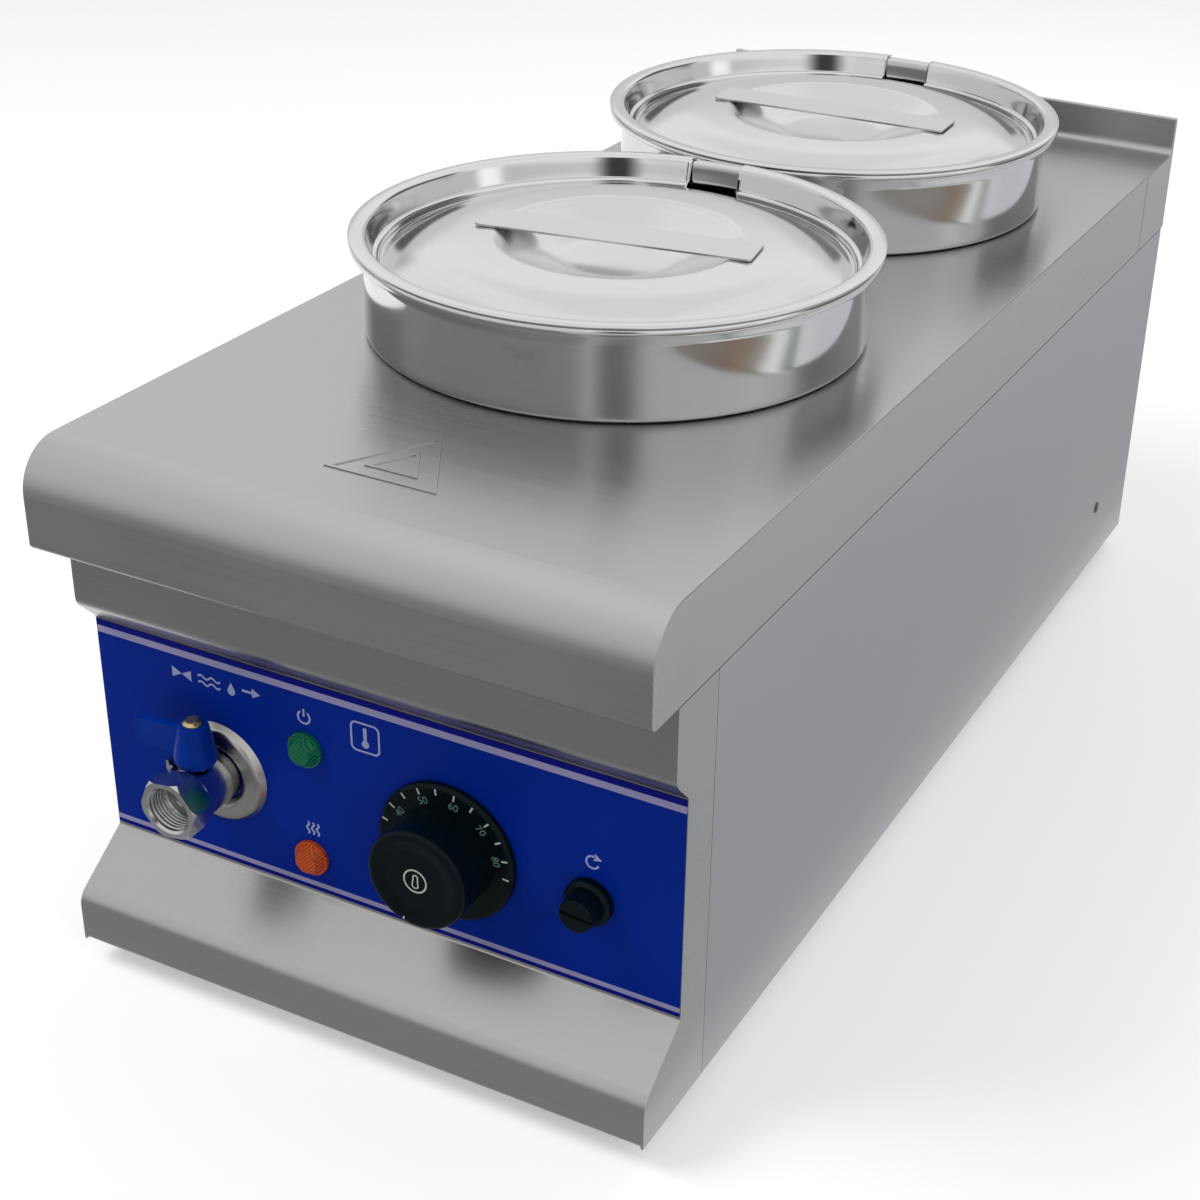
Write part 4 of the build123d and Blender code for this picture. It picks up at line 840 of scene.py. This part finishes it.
def tick_tree():
    """Short bars set round a centre at even angles, each pointing at it."""
    tree, identifiers = geometry_tree("scale_ticks", {
        "Count": "Int", "Radius": "Float", "First angle": "Float", "Angle step": "Float", "Bar": "Vector",
        "Centre": "Vector", "Material": "Material"})
    given = make_node(tree, "NodeGroupInput").outputs
    points = make_node(tree, "GeometryNodeMeshLine", {"Count": given["Count"], "Offset": (0, 0, 0)})
    index = make_node(tree, "GeometryNodeInputIndex").outputs[0]
    angle = make_node(tree, "ShaderNodeMath", {
        0: index, 1: given["Angle step"], 2: given["First angle"]}, operation="MULTIPLY_ADD").outputs[0]
    across = make_node(tree, "ShaderNodeMath", {0: angle}, operation="SINE").outputs[0]
    upward = make_node(tree, "ShaderNodeMath", {0: angle}, operation="COSINE").outputs[0]
    way = make_node(tree, "ShaderNodeCombineXYZ", {"X": across, "Z": upward}).outputs[0]
    reach = make_node(tree, "ShaderNodeVectorMath", {
        0: way, "Scale": given["Radius"]}, operation="SCALE").outputs[0]
    place = make_node(tree, "ShaderNodeVectorMath", {
        0: reach, 1: given["Centre"]}, operation="ADD").outputs[0]
    spots = make_node(tree, "GeometryNodeSetPosition", {"Geometry": points.outputs[0], "Position": place})
    bar = make_node(tree, "GeometryNodeMeshCube", {"Size": given["Bar"]})
    lean = make_node(tree, "ShaderNodeCombineXYZ", {"Y": angle})
    bars = make_node(tree, "GeometryNodeInstanceOnPoints", {
        "Points": spots.outputs[0], "Instance": bar.outputs[0], "Rotation": lean.outputs[0]})
    end_tree(tree, bars.outputs[0], given["Material"])
    return tree, identifiers


tick_count = 11
tick_radius = 30.9 * mm
tick_bar = (0.85 * mm, 2 * ink_depth, 3.0 * mm)
tick_first, tick_step = -74.0, 16.9
grown("scale_ticks", *tick_tree(), {
    "Count": tick_count, "Radius": tick_radius, "First angle": radians(tick_first),
    "Angle step": radians(tick_step), "Bar": tick_bar, "Centre": (knob_centre.x, dial_low.y, knob_centre.z),
    "Material": dial_white}, "temperature_knob", "white_plastic")


def printed_number(number, height, angle, radius):
    """A plain number on the dial, its foot towards the knob."""
    data = bpy.data.curves.new(f"number_{number}", "FONT")
    data.body = str(number)
    data.size = height
    data.align_x, data.align_y = "CENTER", "CENTER"
    data.extrude = ink_depth / 2
    data.resolution_u = 3
    writing = bpy.data.objects.new(data.name, data)
    bpy.context.scene.collection.objects.link(writing)
    depsgraph = bpy.context.evaluated_depsgraph_get()
    mesh = bpy.data.meshes.new_from_object(writing.evaluated_get(depsgraph), depsgraph=depsgraph)
    bpy.data.objects.remove(writing)
    turn = radians(angle)
    across, upward = radius * sin(turn), radius * cos(turn)
    spot = Vector((knob_centre.x + across, dial_low.y - ink_depth / 2, knob_centre.z + upward))
    upright = Matrix.Rotation(turn, 4, "Y") @ Matrix.Rotation(pi / 2, 4, "X")
    mesh.transform(Matrix.Translation(spot) @ upright)
    mesh.materials.clear()
    mesh.materials.append(number_white)
    piece = bpy.data.objects.new(data.name, mesh)
    bpy.context.scene.collection.objects.link(piece)
    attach(piece, "temperature_knob")


number_height = 5.2 * mm
number_radius = 26.3 * mm
number_first = tick_first + tick_step + 1.0
for place, number in enumerate((40, 50, 60, 70, 80)):
    printed_number(number, number_height, number_first + 2 * tick_step * place, number_radius)

# Ring and sign on the knob's face, and the pointer's tick on its rim
knob_mark = bmesh.new()
mark_face = knob_low.y + 0.8 * mm
knob_middle = (knob_centre.x, knob_centre.z)
stroke(knob_mark, arc(knob_middle, 5.5 * mm, 0, 360, 48)[:-1], 0.75 * mm, mark_face, closed=True)
sign_top = arc(beside(knob_middle, 0.2, 1.9), 1.15 * mm, -20, 200, 12)
sign_foot = arc(beside(knob_middle, 0, -2.0), 1.5 * mm, 150, 390, 14)
stroke(knob_mark, sign_top + sign_foot, 0.6 * mm, mark_face, closed=True)
piece_from("knob_mark", knob_mark, dial_white, "temperature_knob")
knob_tick = bmesh.new()
tick_turn = radians(196)
tick_line = [beside(knob_middle, reach * sin(tick_turn), reach * cos(tick_turn)) for reach in (20.5, 22.1)]
stroke(knob_tick, tick_line, 0.7 * mm, knob_low.y)
piece_from("knob_tick", knob_tick, dial_white, "temperature_knob")

zinc = plain_metal("zinc", (0.55, 0.55, 0.53), 0.3)
dress(zinc, "thermostat_body", "thermostat_shaft", "thermostat_screws", "lamp_clips", "foot_screws",
      "foot_nuts", "rear_screws")
dress(plain_metal("dark_screw", (0.10, 0.10, 0.105), 0.4), "side_screws")
dress(moulding("black_plastic", (0.012, 0.012, 0.013), 0.45), "limiter_body", "lamp_bodies", "inlet_gland",
      "inlet_nut")


# Pilot lamps
# Clear tinted lenses, faceted, over black bodies.

def lens_plastic(name, colour, pattern):
    """Clear tinted plastic over a cross-ribbed inner face; the ribs are in the bump, and the light they
    break up is painted into the colour as a grid of lighter and darker patches.
    """
    material = new_material(name, Roughness=0.16, Specular_IOR_Level=0.3)
    place = add_node(material, "TexCoord").outputs["Object"]
    split = add_node(material, "SeparateXYZ", {0: place})
    waves = []
    for axis in ("X", "Z"):
        run = combined(material, split.outputs[axis], 2 * pi / pattern, "MULTIPLY")
        waves.append(add_node(material, "Math", {0: run}, operation="SINE").outputs[0])
    ribs_and_painted_glints = combined(material, *waves, "MULTIPLY")
    # Painted highlight and shade: the rib grid makes the lens colour lighter and darker, as the ribs scatter
    # the light.
    tone = scaled(material, ribs_and_painted_glints, (-1, 1), (0.45, 1.25))
    link_shader(material, Base_Color=tinted(material, colour, tone),
                Normal=skin(material, ribs_and_painted_glints, 0.5, 0.0002))
    return material


lens_rib = 1.9 * mm
dress(lens_plastic("green_lens", (0.0, 0.15, 0.07), lens_rib), "green_lens")
dress(lens_plastic("orange_lens", (0.60, 0.085, 0.008), lens_rib), "orange_lens")


# Heater, sensor, wiring and feet
# Plain finishes for what sits inside the cabinet and under it.

dress(plain_metal("element_steel", (0.30, 0.285, 0.27), 0.38), "heating_element")
dress(plain_metal("copper", (0.66, 0.36, 0.24), 0.3), "temperature_probe")
dress(moulding("fibre", (0.30, 0.09, 0.06), 0.7), "gland_seals")
dress(moulding("lead_sleeve", (0.55, 0.5, 0.42), 0.75), "inner_leads")
dress(moulding("rubber", (0.015, 0.015, 0.016), 0.75), "rubber_feet")
